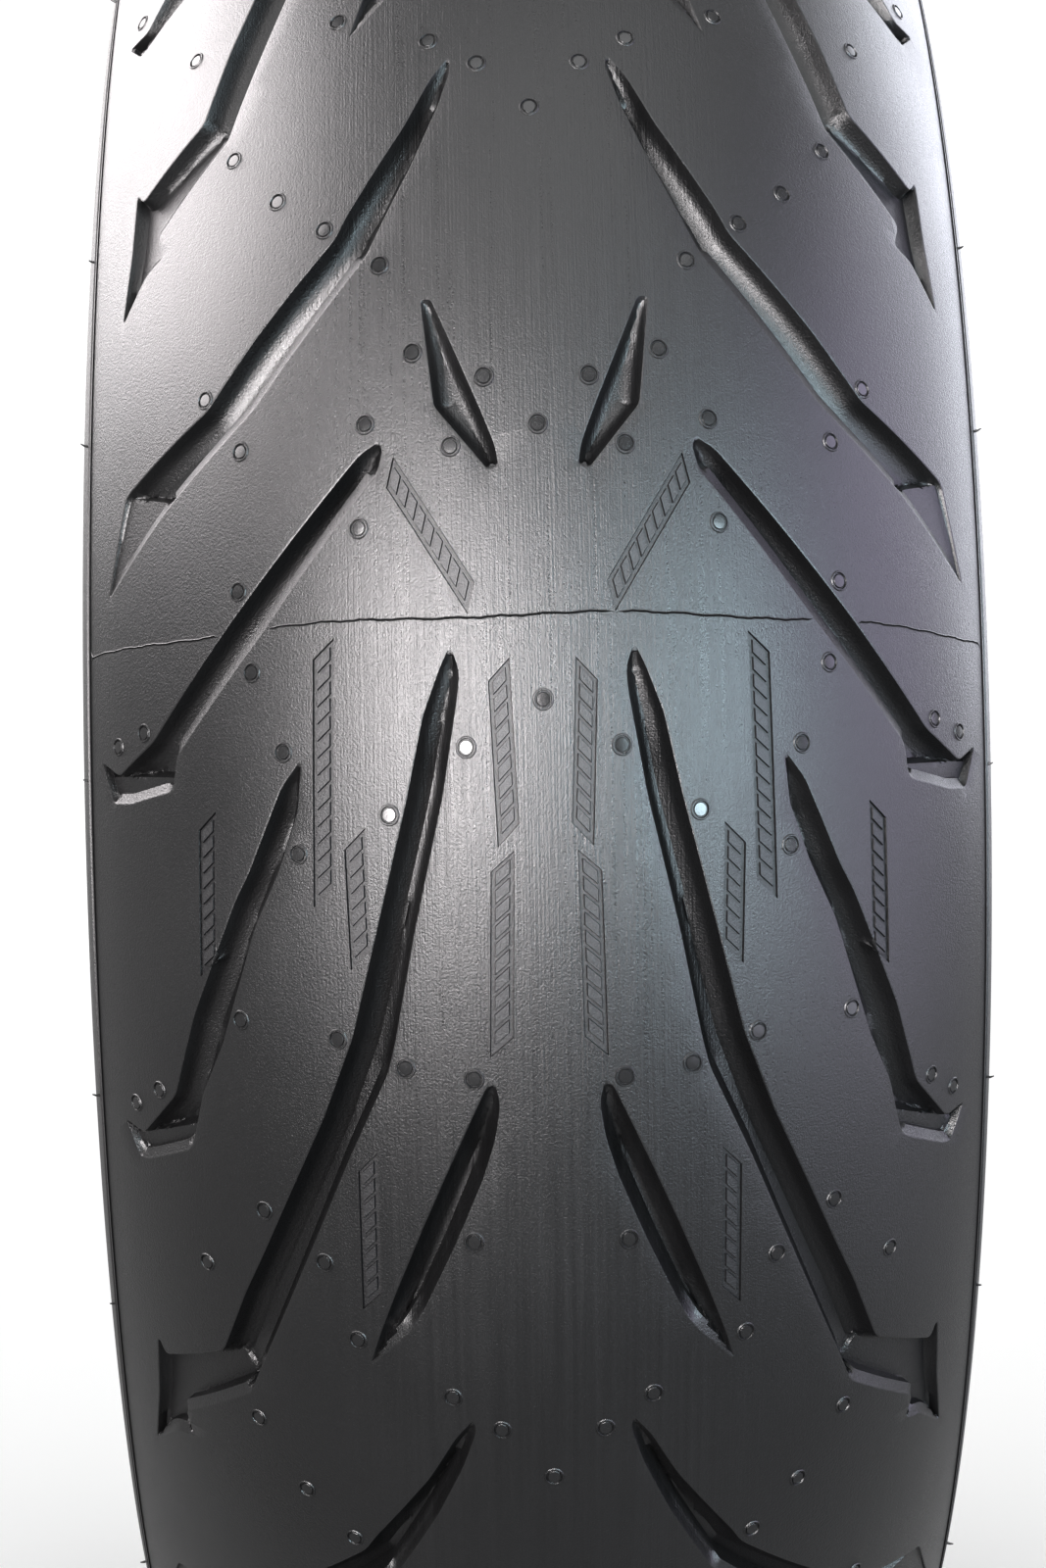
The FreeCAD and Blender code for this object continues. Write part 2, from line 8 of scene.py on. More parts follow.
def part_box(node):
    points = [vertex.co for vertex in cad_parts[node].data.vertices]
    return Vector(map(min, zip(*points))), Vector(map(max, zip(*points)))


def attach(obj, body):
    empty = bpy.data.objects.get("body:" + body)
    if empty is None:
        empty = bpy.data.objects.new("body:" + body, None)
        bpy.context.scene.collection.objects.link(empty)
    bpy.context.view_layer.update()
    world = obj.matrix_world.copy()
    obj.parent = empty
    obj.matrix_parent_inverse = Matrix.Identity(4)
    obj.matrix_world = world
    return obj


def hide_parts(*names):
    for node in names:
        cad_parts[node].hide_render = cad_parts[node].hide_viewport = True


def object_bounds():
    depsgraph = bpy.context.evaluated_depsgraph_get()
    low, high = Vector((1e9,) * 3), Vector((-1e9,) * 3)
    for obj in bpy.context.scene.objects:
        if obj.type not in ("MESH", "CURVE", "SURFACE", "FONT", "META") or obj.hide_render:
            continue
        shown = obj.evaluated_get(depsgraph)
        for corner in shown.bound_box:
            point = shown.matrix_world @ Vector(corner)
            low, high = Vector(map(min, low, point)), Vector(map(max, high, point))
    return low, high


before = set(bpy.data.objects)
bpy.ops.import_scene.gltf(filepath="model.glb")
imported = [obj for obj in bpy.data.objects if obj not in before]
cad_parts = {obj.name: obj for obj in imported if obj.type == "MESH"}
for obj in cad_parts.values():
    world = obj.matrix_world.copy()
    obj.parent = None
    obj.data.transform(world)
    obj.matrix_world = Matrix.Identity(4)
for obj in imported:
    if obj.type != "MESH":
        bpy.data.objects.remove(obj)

# A bare motorcycle tyre. The script works in millimetres and degrees, and in metres from when it makes a mesh.
# A place on the tread is (across, turn): the length along the crown from the centre plane, and the angle round
# the tyre. The tread is laid out flat before it is wrapped: across, and the turn as a length at PLANE_RADIUS.

CAD_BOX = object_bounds()
MM = 0.001
PITCHES = 7
PITCH_TURN = 360.0 / PITCHES
CROWN_RADIUS = 107.0
TYRE_RADIUS = min(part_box("tread_cap")[1].x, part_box("tread_cap")[1].z) / MM
CROWN_CENTRE = TYRE_RADIUS - CROWN_RADIUS
CAP_THICKNESS = 7.6
# The land lies this much under the CAD tread's face, so that raised marks stay inside the CAD model's box.
LAND_DROP = 0.22
TREAD_EDGE = math.radians(58.3) * CROWN_RADIUS
CAP_INNER_EDGE = math.radians(59.9) * CROWN_RADIUS
PLANE_RADIUS = 290.0
PLANE_PER_DEGREE = math.radians(1.0) * PLANE_RADIUS

# Grooves of one side of one pitch. Each is an outline, with the floor's depth at the crown and at the shoulder.
# Along a ramp the floor rises, from a point at full depth to a point at the given share of it. A facet is the
# shallow plane at a groove's outer end: three places with the depth of each. It starts at the line between the
# first two.
GROOVES = {
    "upper_diagonal": {
        "outline": [(15.7, 27.3), (19.4, 26.4), (24.9, 24.4), (36.9, 20.95), (39.3, 20.1), (57, 16.8),
                    (69, 14.4), (93.7, 12.0), (100.5, 7.8), (80, 10.9), (65, 12.9), (57.3, 14.0), (33, 19.1),
                    (23.7, 22.6), (18.1, 25.1), (15.3, 26.75)],
        "depths": (5.6, 4.6),
        "ramps": [((20.5, 24.8), (15.6, 27.0), 0.3)],
        "facet": ((93.7, 12.0, 0.9), (78.5, 11.1, 3.0), (100.5, 7.8, 0.5)),
    },
    "centre_wedge": {
        "outline": [(22, 17.1), (20, 17.1), (10.6, 12.7), (8.2, 11.5), (7.5, 10.7), (9.6, 10.6), (19.6, 13.0),
                    (19.9, 13.5)],
        "depths": (3.8, 3.8),
        "ramps": [((19.5, 14.8), (21.5, 17.2), 0.35)],
    },
    "middle_diagonal": {
        "outline": [(30.5, 11.9), (34.4, 11.5), (65, 5.5), (85, 1.5), (97, 0.15), (104, 0.8), (99.7, -1.0),
                    (93.2, -1.0), (80, -0.5), (79, -0.2), (78, 0.9), (56, 5.3), (35.2, 9.85), (31, 10.7),
                    (29.8, 11.55)],
        "depths": (5.6, 4.6),
        "ramps": [((36.5, 10.3), (30.2, 11.8), 0.3)],
        "facet": ((97.0, 0.15, 1.6), (79.5, 0.05, 2.4), (93.2, -1.0, 2.2)),
    },
    "shoulder_hook": {
        "outline": [(47.4, 0.65), (52, -0.4), (60, -3.6), (63.5, -4.7), (75.2, -9.4), (81.5, -12.9),
                    (92.4, -15.1), (99.5, -14.9), (94.4, -16.35), (91.6, -16.25), (77.5, -15.0), (76, -14.2),
                    (73.5, -12.5), (67.7, -10.3), (58.8, -5.6), (52.9, -3.45), (48.5, -1.3)],
        "depths": (5.4, 4.6),
        "ramps": [((52.5, -1.6), (47.6, 0.5), 0.3)],
        "facet": ((92.4, -15.1, 1.6), (74.5, -13.8, 2.4), (91.6, -16.25, 2.2)),
    },
    "main_diagonal": {
        "outline": [(17.3, 4.45), (15.7, 3.6), (16, 2.8), (19.3, -0.8), (25.3, -5.6), (29.5, -9.5), (31, -10.6),
                    (39.5, -14), (50, -18.6), (62, -23.9), (64.7, -25.2), (84.5, -28.1), (82.5, -29.2),
                    (88.1, -29.6), (96.3, -31.3), (93.5, -28.1), (92.3, -25.0), (90, -25.7), (71.4, -23.7),
                    (64.5, -20.5), (59.9, -18.7), (53, -15.9), (44.5, -12.5), (38, -9.4), (29.4, -3.2),
                    (26.2, -0.9), (22.7, 2.05), (19.3, 3.7)],
        "depths": (6.0, 5.0),
        "ramps": [((21.0, 0.0), (17.0, 4.3), 0.3)],
        "facet": ((72.5, -23.4, 4.4), (62.5, -25.6, 4.8), (90.0, -28.0, 2.8)),
    },
    "lower_slot": {
        "outline": [(10.3, -10.9), (9.4, -11.6), (10.5, -12.9), (13, -14.4), (18.5, -16.9), (25, -19.6),
                    (27.7, -20.5), (36.7, -22.4), (34, -20.8), (30.5, -19.0), (24.9, -16.4), (20.3, -14.4),
                    (15, -12.2), (12, -11.0)],
        "depths": (5.8, 5.2),
        "ramps": [((14.0, -13.4), (10.0, -11.2), 0.3), ((27.0, -19.0), (36.7, -22.3), 0.2)],
    },
}
SHOULDER = 95.0
# The walls of a groove: distance in from its edge against the share of the depth. The steep wall stretches by
# up to WALL_LEAN where it faces up the tyre or away from the middle, and turns into the bevelled one where it
# does so most. Where it faces down it goes on sloping, as OUTER_WALL.
STEEP_WALL = [(-0.28, 0.0), (0.0, 0.02), (0.14, 0.12), (0.45, 0.42), (0.9, 0.7), (1.5, 0.89), (2.3, 0.98),
              (3.2, 1.0)]
OUTER_WALL = [(-0.28, 0.0), (0.0, 0.02), (0.14, 0.12), (0.45, 0.4), (0.9, 0.62), (1.5, 0.76), (2.3, 0.88),
              (4.2, 1.1)]
BEVELLED_WALL = [(-0.28, 0.0), (0.0, 0.01), (0.15, 0.03), (2.1, 0.22), (2.35, 0.6), (2.65, 1.1), (3.8, 1.04)]
WALL_LINES = (-0.28, 0.0, 0.15, 0.45, 0.9, 1.4, 2.1, 2.35, 2.65, 3.0, 3.6)
WALL_LEAN = 1.0
# How much facing along the tyre and facing away from the middle count, and where each wall takes over.
FACING_ALONG, FACING_OUT = 0.85, 0.3
BEVEL_FACING = (0.58, 0.76)
OUTER_FACING = (-0.4, -0.1)
# How steeply a groove drops from the line where its facet starts, and the lines of points laid along that drop:
# how far down it each lies, how near the edge it ends, and how much the steep wall is stretched beside it.
FACET_DROP = 2.6
FACET_LINES = (0.0, 0.6, 1.2)
FACET_MARGIN = 0.35
FACET_WALL = 1.4
LEAST_DEPTH = 0.15
# A corner is eased by this much, or by the given share of its shorter side.
GROOVE_CORNER = 1.6
LONGEST_CUT = 0.42

# Boundary between one pitch and the next, where no groove lies.
PITCH_EDGE = [(0, 33), (20, 30), (30, 27), (45, 25), (62, 21.5), (82, 17.8), (96, 16), (109, 15)]

# Marks of the mould's vents. A ring of each is its radius and rise, and the disc goes out to VENT_DISC.
VENTS = [(14.6, 0.9), (29.6, -1.4), (27.5, -10.4), (41.1, -9.5), (14.3, -10.7), (48.5, -2.8), (51.4, 0.9),
         (58.3, 3.9), (61.3, 7.0), (60.6, 12.4), (69.6, 14.9), (33.3, 12.6), (16.6, 11.5), (34.8, 8.8),
         (10.0, 14.0), (23.7, 15.1), (10.2, 26.9), (30.1, 18.7), (41.6, 20.6), (52.1, 22.4), (63.0, -26.3),
         (74.3, -24.6), (88.0, 1.9), (97.2, 1.4), (62.8, -9.2), (58.9, -16.7), (45.5, -18.3), (14.9, -16.8),
         (38.9, -21.3), (74.5, -19.8), (86.5, -12.9), (94.8, -13.9), (19.8, 28.2)]
CENTRE_VENTS = [(0.0, 2.5), (0.0, 12.2), (0.0, 24.8)]
VENT_RINGS = [(0.6, 0.1), (1.2, 0.08), (1.36, -0.14), (1.5, -0.14), (1.66, 0.2), (1.84, 0.2), (2.0, 0.0)]
VENT_DISC = 1.2
VENT_SIDES = 20
VENT_GAP = 0.35

# Generic hatched strips: first end, last end and width.
STRIPS = [((28.0, 10.6), (13.6, 6.2), 2.6), ((42.4, 4.4), (43.2, -4.2), 2.8), ((36.6, -2.4), (35.9, -6.4), 2.8),
          ((8.2, 3.4), (7.0, -2.0), 2.6), ((8.2, -3.2), (8.9, -9.4), 2.8), ((70.0, -1.8), (70.6, -7.2), 2.8),
          ((35.6, -14.2), (35.6, -19.4), 2.4)]
STRIP_CELL = 3.1
STRIP_LINE = 0.7
STRIP_SLANT = 1.2
STRIP_DEPTH = 0.5
STRIP_BEVEL = 0.12
CELL_DEPTH = 0.06

# The mould's parting line round the tread: the place of each of its points along the tyre, and its rise.
PARTING_TURN = 5.45
PARTING_SECTION = ((-0.3, 0.0), (-0.14, 0.06), (0.0, -0.2), (0.14, 0.1), (0.32, 0.0))
PARTING_GAP = 0.75
PARTING_STEP = 1.3

# The tread's materials, by their place among the piece's slots.
LAND, VENT, STRIP = 0, 1, 2

# The longest gaps between points of the tread's mesh.
LAND_STEP = 4.2
EDGE_STEP = 3.6
OUTLINE_STEP = 1.4
FACET_STEP = 0.9
STRIP_STEP = 3.0
UNDER_STEP = 12.0

# The sidewall's face and back in section, as (across, height).
WIDEST = (93.75, 248.0)
LOWER_WALL = (88.0, 238.2)
STRIP_TOP = (80.0, 232.4)
UPPER_WALL_RADIUS = 25.0
LOWER_WALL_RADIUS = 12.5
ARC_STEPS = 24
WALL_BACK = [(76.9, 231.0), (76.9, 238.0), (78.8, 239.9), (82.0, 244.2), (83.1, 249.4), (82.7, 252.9),
             (86.0, 253.9)]
WALL_STEP = 1.1
# What is moulded on the sidewall, as lengths down its face: a sunk line, a band of sunk bars, and ridges.
SUNK_LINE = (0.5, 0.8, 1.3, 1.6)
LINE_DEPTH = 0.45
BAR_BAND = (14.0, 21.0)
BAR_BEVEL = 0.35
BAR_DEPTH = 0.3
WALL_BARS = 200
# One bar's angles, as shares of the way to the next, and which of them are sunk.
BAR_SHAPE = ((0.0, False), (0.07, True), (0.5, True), (0.57, False))
RIM_RIDGES = (24.5, 27.0, 29.5)
RIDGE_SHAPE = (-0.9, -0.3, 0.3, 0.9)
RIDGE_HEIGHT = 0.55
# Plain raised arrows: their angles round the tyre, the bars left out beside them, and their outline and levels
# (the rise, and how much narrower and shorter it is there).
ARROW_TURNS = (75.0, 255.0)
ARROW_CLEAR = 0.075
ARROW_OUTLINE = [(-12, -0.9), (3, -0.9), (3, -2.6), (12, 0), (3, 2.6), (3, 0.9), (-12, 0.9)]
ARROW_LEVELS = ((-0.3, 1.0, 1.0), (0.22, 1.0, 1.0), (0.3, 0.9, 0.99))
# Hairs along the tread's edge: how many, how far down the sidewall, how many sides each has, how deep it starts,
# and its radius at the root, halfway and at the tip.
WHISKERS = 26
WHISKER_DOWN = 2.2
WHISKER_SIDES = 6
WHISKER_ROOT = 0.3
WHISKER_RADII = (0.34, 0.24, 0.12)

# Faces that meet at more than this many degrees keep a crisp edge between them.
TREAD_CREASE = 38
WALL_CREASE = 30
ARROW_CREASE = 35
WHISKER_CREASE = 50

# Studio light: name, azimuth, elevation, distance, size, power and colour.
LIGHT_TARGET = Vector((0.25, 0.0, 0.0))
LIGHTS = [
    ("front_left", -22, 6, 1.15, (0.62, 0.72), 76, (1.0, 0.965, 0.97)),
    ("front_right", 36, 5, 1.15, (0.42, 0.6), 29, (0.74, 0.92, 1.0)),
    ("left_high", -98, 39, 1.0, (0.95, 0.65), 27, (1.0, 0.955, 0.965)),
    ("left_back", -138, 28, 1.0, (0.5, 0.6), 3.5, (1.0, 0.97, 0.98)),
    ("right_side", 82, 14, 1.0, (0.6, 0.8), 9.5, (0.8, 0.74, 1.0)),
    ("right_low", 62, -18, 0.62, (0.7, 0.18), 2.0, (0.86, 0.86, 1.0)),
    ("right_back", 130, 22, 1.0, (0.6, 0.8), 9, (0.9, 0.92, 1.0)),
    ("overhead", 12, 60, 1.0, (1.0, 0.6), 7, (1.0, 1.0, 1.0)),
]
WORLD_STRENGTH = 1.12
FLOOR_RADIUS = 4.0
FLOOR_SIDES = 96
VIEW_GAMMA = 0.74

# The camera: its place in metres, which way it is turned in radians, and the lens on a 36 mm frame.
CAMERA_PLACE = (0.84157, -0.01162, 0.0)
CAMERA_YAW, CAMERA_PITCH, CAMERA_ROLL = 0.0142, -0.0040, -0.0189
CAMERA_LENS = 65.58
CAMERA_FRAME = 36.0

# Rubbers: colour, roughness, strength of the grain, and strength of the machined lines.
RUBBERS = {
    "tread_rubber_look": ((0.0042, 0.0042, 0.0044), 0.33, 0.9, 0.5),
    "vent_mark_look": ((0.006, 0.006, 0.0062), 0.24, 0.15, 0.0),
    "strip_rubber_look": ((0.0045, 0.0045, 0.005), 0.47, 1.0, 0.0),
    "sidewall_rubber_look": ((0.006, 0.006, 0.0062), 0.46, 0.7, 0.0),
    "bead_rubber_look": ((0.007, 0.007, 0.0073), 0.46, 0.9, 0.0),
    "inner_rubber_look": ((0.009, 0.009, 0.0095), 0.55, 0.8, 0.0),
}
LINER_COLOUR = (0.011, 0.011, 0.0115)
PLY_COLOUR = (0.05, 0.04, 0.03)
STEEL_COLOUR = (0.6, 0.46, 0.22)
SHEEN = 0.42
# The lines fade out between these distances from the centre plane, in metres, to a share of their strength.
LINES_FADE = (0.022, 0.05)
LINES_LEFT = 0.12


def flat(points):
    """(across, turn) to the flat layout."""
    return np.array([(a, t * PLANE_PER_DEGREE) for a, t in points], float)


def wrap(plane, rise):
    """Points of the flat layout, lifted by rise, on the tyre. In metres."""
    lean = plane[:, 0] / CROWN_RADIUS
    turn = plane[:, 1] / PLANE_RADIUS
    arm = CROWN_RADIUS - LAND_DROP + rise
    reach = CROWN_CENTRE + arm * np.cos(lean)
    return np.stack([reach * np.cos(turn), arm * np.sin(lean), reach * np.sin(turn)], 1) * MM


def tread_normals(plane):
    """The crown's outward normals at points of the flat layout."""
    lean = plane[:, 0] / CROWN_RADIUS
    turn = plane[:, 1] / PLANE_RADIUS
    return np.stack([np.cos(lean) * np.cos(turn), np.sin(lean), np.cos(lean) * np.sin(turn)], 1)


def rounded(outline, radius):
    """A closed outline with its corners eased."""
    out = []
    count = len(outline)
    for i in range(count):
        before, corner, after = outline[i - 1], outline[i], outline[(i + 1) % count]
        arms = [before - corner, after - corner]
        spans = [np.hypot(*arm) for arm in arms]
        cut = min(radius, LONGEST_CUT * spans[0], LONGEST_CUT * spans[1])
        start = corner + arms[0] / spans[0] * cut
        end = corner + arms[1] / spans[1] * cut
        for share in (0.0, 0.25, 0.5, 0.75, 1.0):
            out.append((1 - share) ** 2 * start + 2 * share * (1 - share) * corner + share**2 * end)
    return np.array(out)


def spaced(points, step, closed=True):
    """A line with points added where a gap is longer than step, and without points nearer than a fifth of it."""
    ends = np.roll(points, -1, 0) if closed else points[1:]
    starts = points if closed else points[:-1]
    out = []
    for start, end in zip(starts, ends):
        if out and np.hypot(*(start - out[-1])) < 0.2 * step:
            continue
        span = np.hypot(*(end - start))
        pieces = max(1, math.ceil(span / step))
        out += [start + (end - start) * k / pieces for k in range(pieces)]
    if not closed:
        out.append(points[-1])
    return np.array(out)


def area(outline):
    """A closed outline's area, above zero where it runs anticlockwise."""
    x, y = outline[:, 0], outline[:, 1]
    return 0.5 * float(np.sum(x * np.roll(y, -1) - np.roll(x, -1) * y))


def edge_distance(points, outline):
    """The distance from each point to a closed outline."""
    starts, ends = outline, np.roll(outline, -1, 0)
    along = ends - starts
    length2 = np.maximum((along**2).sum(1), 1e-12)
    best = np.full(len(points), 1e9)
    for start, arm, l2 in zip(starts, along, length2):
        share = np.clip(((points - start) @ arm) / l2, 0, 1)
        gap = points - start - share[:, None] * arm
        best = np.minimum(best, np.hypot(gap[:, 0], gap[:, 1]))
    return best


def inside(points, outline):
    """Which points lie inside a closed outline."""
    result = np.zeros(len(points), bool)
    x, y = points[:, 0], points[:, 1]
    for (x1, y1), (x2, y2) in zip(outline, np.roll(outline, -1, 0)):
        if y1 == y2:
            continue
        crosses = (y1 > y) != (y2 > y)
        result ^= crosses & (x < (x2 - x1) * (y - y1) / (y2 - y1) + x1)
    return result


def inset(outline, distance):
    """An outline's points moved inward, without those that would pass the middle, and the ways they moved."""
    ahead = np.roll(outline, -1, 0) - np.roll(outline, 1, 0)
    ahead /= np.maximum(np.hypot(ahead[:, 0], ahead[:, 1]), 1e-9)[:, None]
    inward = np.stack([-ahead[:, 1], ahead[:, 0]], 1)
    if distance == 0:
        return outline, inward
    moved = outline + inward * distance
    keep = edge_distance(moved, outline) > abs(distance) * 0.96
    keep &= inside(moved, outline) == (distance > 0)
    return moved[keep], inward[keep]


class Layout:
    """One pitch's points, with their rises and looks, and its links, gathered before they become triangles."""

    def __init__(self):
        self.points = []
        self.rises = []
        self.links = []
        self.looks = []

    def add(self, points, rises, closed=None, longest=4.0, look=LAND):
        first = len(self.points)
        self.points += [tuple(p) for p in points]
        self.looks += [look] * len(points)
        rises = np.broadcast_to(rises, (len(points),))
        self.rises += [float(r) for r in rises]
        if closed is None or len(points) < 2:
            return
        count = len(points)
        for k in range(count if closed else count - 1):
            a, b = points[k], points[(k + 1) % count]
            if math.hypot(a[0] - b[0], a[1] - b[1]) < longest:
                self.links.append((first + k, first + (k + 1) % count))


def side_of(points, side):
    """Points of the layout's right side, on the right (1) or mirrored to the left (-1)."""
    return points * np.array([side, 1.0])


def on_the_right(plane):
    """Points of either side of the layout, brought to its right side."""
    return np.stack([np.abs(plane[:, 0]), plane[:, 1]], 1)


def facet_corners(groove, side=1):
    """A facet's three places, and the way that leads from its starting line to the groove's deep part."""
    first, last, far = (side_of(flat([corner[:2]]), side)[0] for corner in groove["facet"])
    along = (last - first) / np.hypot(*(last - first))
    away = np.array([-along[1], along[0]])
    away *= -np.sign(away @ (far - first))
    return first, last, far, away


def facet_lines(layout, groove, outline, side):
    """Points along the line where a groove's facet starts, and along the drop beside it."""
    first, last, _, away = facet_corners(groove, side)
    for shift in FACET_LINES:
        line = spaced(np.array([first, last]) + away * shift, FACET_STEP, closed=False)
        line = line[inside(line, outline)]
        gap = edge_distance(line, outline)
        line, gap = line[gap > FACET_MARGIN], gap[gap > FACET_MARGIN]
        shares = np.interp(gap / FACET_WALL, *zip(*STEEP_WALL))
        depth = np.minimum(shares * groove_depth(groove, line), facet_limit(groove, line))
        layout.add(line, -depth, closed=False, longest=2.0)


def groove_depth(groove, plane):
    """The floor's depth at points of the flat layout."""
    crown, shoulder = groove["depths"]
    depth = crown + (shoulder - crown) * np.clip(np.abs(plane[:, 0]) / SHOULDER, 0, 1)
    mirrored = on_the_right(plane)
    for start, end, share in groove["ramps"]:
        start, end = flat([start, end])
        arm = end - start
        along = np.clip(((mirrored - start) @ arm) / (arm @ arm), 0, 1)
        depth = depth * (1 - (1 - share) * along)
    return depth


def wall_share(inward, distance, side):
    """The share of the depth reached at a distance from the edge, by walls that face the given ways."""
    facing = FACING_ALONG * inward[:, 1] + FACING_OUT * side * inward[:, 0]
    stretch = 1.0 + WALL_LEAN * np.clip(facing, 0, 1)
    steep = np.interp(distance / stretch, *zip(*STEEP_WALL))
    bevelled = np.interp(distance, *zip(*BEVELLED_WALL))
    outer = np.interp(distance, *zip(*OUTER_WALL))
    share = steep + (bevelled - steep) * np.interp(facing, BEVEL_FACING, (0, 1))
    return share + (outer - steep) * np.interp(facing, OUTER_FACING, (1, 0))


def facet_limit(groove, plane):
    """The most depth that a groove's facet allows, past the line where the facet starts and before it."""
    if "facet" not in groove:
        return np.full(len(plane), np.inf)
    first, last, far, away = facet_corners(groove)
    depths = [corner[2] for corner in groove["facet"]]
    mirrored = on_the_right(plane)
    shares = np.linalg.solve(np.array([last - first, far - first]).T, (mirrored - first).T)
    depth = depths[0] + shares[0] * (depths[1] - depths[0]) + shares[1] * (depths[2] - depths[0])
    before = np.maximum((mirrored - first) @ away, 0)
    return np.maximum(depth, LEAST_DEPTH) + FACET_DROP * before


def add_groove(layout, groove, side):
    """A groove's rings of points, from its edge in. Returns its outline."""
    outline = side_of(flat(groove["outline"]), side)
    if area(outline) < 0:
        outline = outline[::-1]
    outline = spaced(rounded(outline, GROOVE_CORNER), OUTLINE_STEP)
    for distance in WALL_LINES:
        ring, inward = inset(outline, distance)
        if len(ring) > 2:
            depth = wall_share(inward, distance, side) * groove_depth(groove, ring)
            layout.add(ring, -np.minimum(depth, facet_limit(groove, ring)), closed=True, longest=3.0)
    if "facet" in groove:
        facet_lines(layout, groove, outline, side)
    return outline


def clear_of(points, outlines, gap):
    """Which points lie outside every outline, and no nearer to it than gap."""
    clear = np.ones(len(points), bool)
    low, high = points.min(0) - gap, points.max(0) + gap
    for outline in outlines:
        if (outline.max(0) < low).any() or (outline.min(0) > high).any():
            continue
        clear &= ~inside(points, outline) & (edge_distance(points, outline) > gap)
    return clear


def add_vent(layout, place, side, grooves):
    """The mark of a mould's vent: a flat disc in a fine ring, cut off where a groove runs into it."""
    centre = side_of(flat([place]), side)[0]
    angles = np.arange(VENT_SIDES) * 2 * math.pi / VENT_SIDES
    circle = np.stack([np.cos(angles), np.sin(angles)], 1)
    if clear_of(centre[None], grooves, VENT_GAP)[0]:
        layout.add([centre], VENT_RINGS[0][1], look=VENT)
    for radius, rise in VENT_RINGS:
        ring = centre + circle * radius
        keep = clear_of(ring, grooves, VENT_GAP)
        look = VENT if radius <= VENT_DISC else LAND
        if keep.all():
            layout.add(ring, rise, closed=True, look=look)
        elif keep.any():
            start = int(np.argmin(keep))
            ring, keep = np.roll(ring, -start, 0), np.roll(keep, -start)
            layout.add(ring[keep], rise, closed=False, longest=1.2, look=look)


def add_strip(layout, strip, side):
    """A hatched strip: a sunk band with slanting cells almost as high as the tread. Returns its outline."""
    first, last, width = strip
    start, end = side_of(flat([first, last]), side)
    span = np.hypot(*(end - start))
    along = (end - start) / span
    across = np.array([-along[1], along[0]]) * side
    half = width / 2

    def corners(low, high, reach):
        shape = [(low, -reach), (high, -reach), (high, reach), (low, reach)]
        return np.array([start + along * (s + STRIP_SLANT * r / half) + across * r for s, r in shape])

    edge = corners(-STRIP_LINE - STRIP_BEVEL, span + STRIP_LINE + STRIP_BEVEL, half + STRIP_LINE + STRIP_BEVEL)
    layout.add(spaced(edge, STRIP_STEP), 0.0, closed=True)
    floor = spaced(corners(-STRIP_LINE, span + STRIP_LINE, half + STRIP_LINE), STRIP_STEP)
    layout.add(floor, -STRIP_DEPTH, closed=True, look=STRIP)
    cells = max(1, round(span / STRIP_CELL))
    length = span / cells
    for cell in range(cells):
        low, high = cell * length, (cell + 1) * length - STRIP_LINE
        layout.add(corners(low, high, half), -STRIP_DEPTH, closed=True, look=STRIP)
        top = corners(low + STRIP_BEVEL, high - STRIP_BEVEL, half - STRIP_BEVEL)
        layout.add(top, -CELL_DEPTH, closed=True, look=STRIP)
    return edge


def pitch_outline():
    """The closed edge of one pitch, in the flat layout."""
    half = flat(PITCH_EDGE)
    half[-1, 0] = TREAD_EDGE
    upper = np.concatenate([side_of(half[::-1], -1), half[1:]])
    upper = spaced(upper, EDGE_STEP, closed=False)
    lower = upper - [0, PITCH_TURN * PLANE_PER_DEGREE]
    right = spaced(np.array([upper[-1], lower[-1]]), EDGE_STEP, closed=False)[1:-1]
    left = spaced(np.array([lower[0], upper[0]]), EDGE_STEP, closed=False)[1:-1]
    return np.concatenate([upper, right, lower[::-1], left])


def add_parting(layout, outlines):
    """The mould's parting line: a fine crease with a lip on each side, broken where it meets a groove."""
    across = np.arange(-TREAD_EDGE + 1.2, TREAD_EDGE - 1.0, PARTING_STEP)
    wander = 0.35 * np.sin(across * 0.11) + 0.12 * np.sin(across * 0.73 + 1.0) + 0.06 * np.sin(across * 2.3)
    middle = np.stack([across, PARTING_TURN * PLANE_PER_DEGREE + wander], 1)
    clear = clear_of(middle, outlines, PARTING_GAP)
    for shift, rise in PARTING_SECTION:
        layout.add(middle[clear] + [0, shift], rise, closed=False, longest=1.9)


def hex_grid(low, high, step):
    """Points spread evenly over a rectangle, step apart."""
    rows = []
    height = step * math.sqrt(3) / 2
    for row, y in enumerate(np.arange(low[1], high[1], height)):
        x = np.arange(low[0] + (row % 2) * step / 2, high[0], step)
        rows.append(np.stack([x, np.full_like(x, y)], 1))
    return np.concatenate(rows)


def nearest(points, others, chunk=400):
    """The distance from each point to the nearest of the others."""
    out = []
    for k in range(0, len(points), chunk):
        gap = points[k : k + chunk, None, :] - others[None, :, :]
        out.append(np.sqrt((gap**2).sum(2)).min(1))
    return np.concatenate(out)


def triangles_inside(points, links, outline):
    """Joins points into triangles that keep the links, and drops those outside the outline.

    Returns the points, the triangles, each point's sources, and the links that cross at a point with no source.
    """
    made, edges, faces, sources, edge_links, _ = geometry.delaunay_2d_cdt(
        [Vector(p) for p in points], links, [], 0, 1e-5, True
    )
    made = np.array([tuple(v) for v in made])
    faces = np.array([f for f in faces if len(f) == 3])
    faces = faces[inside(made[faces].mean(1), outline)]
    crossings = {}
    for edge, through in zip(edges, edge_links):
        for point in edge:
            if not sources[point]:
                crossings.setdefault(point, set()).update(through)
    return made, faces, sources, crossings


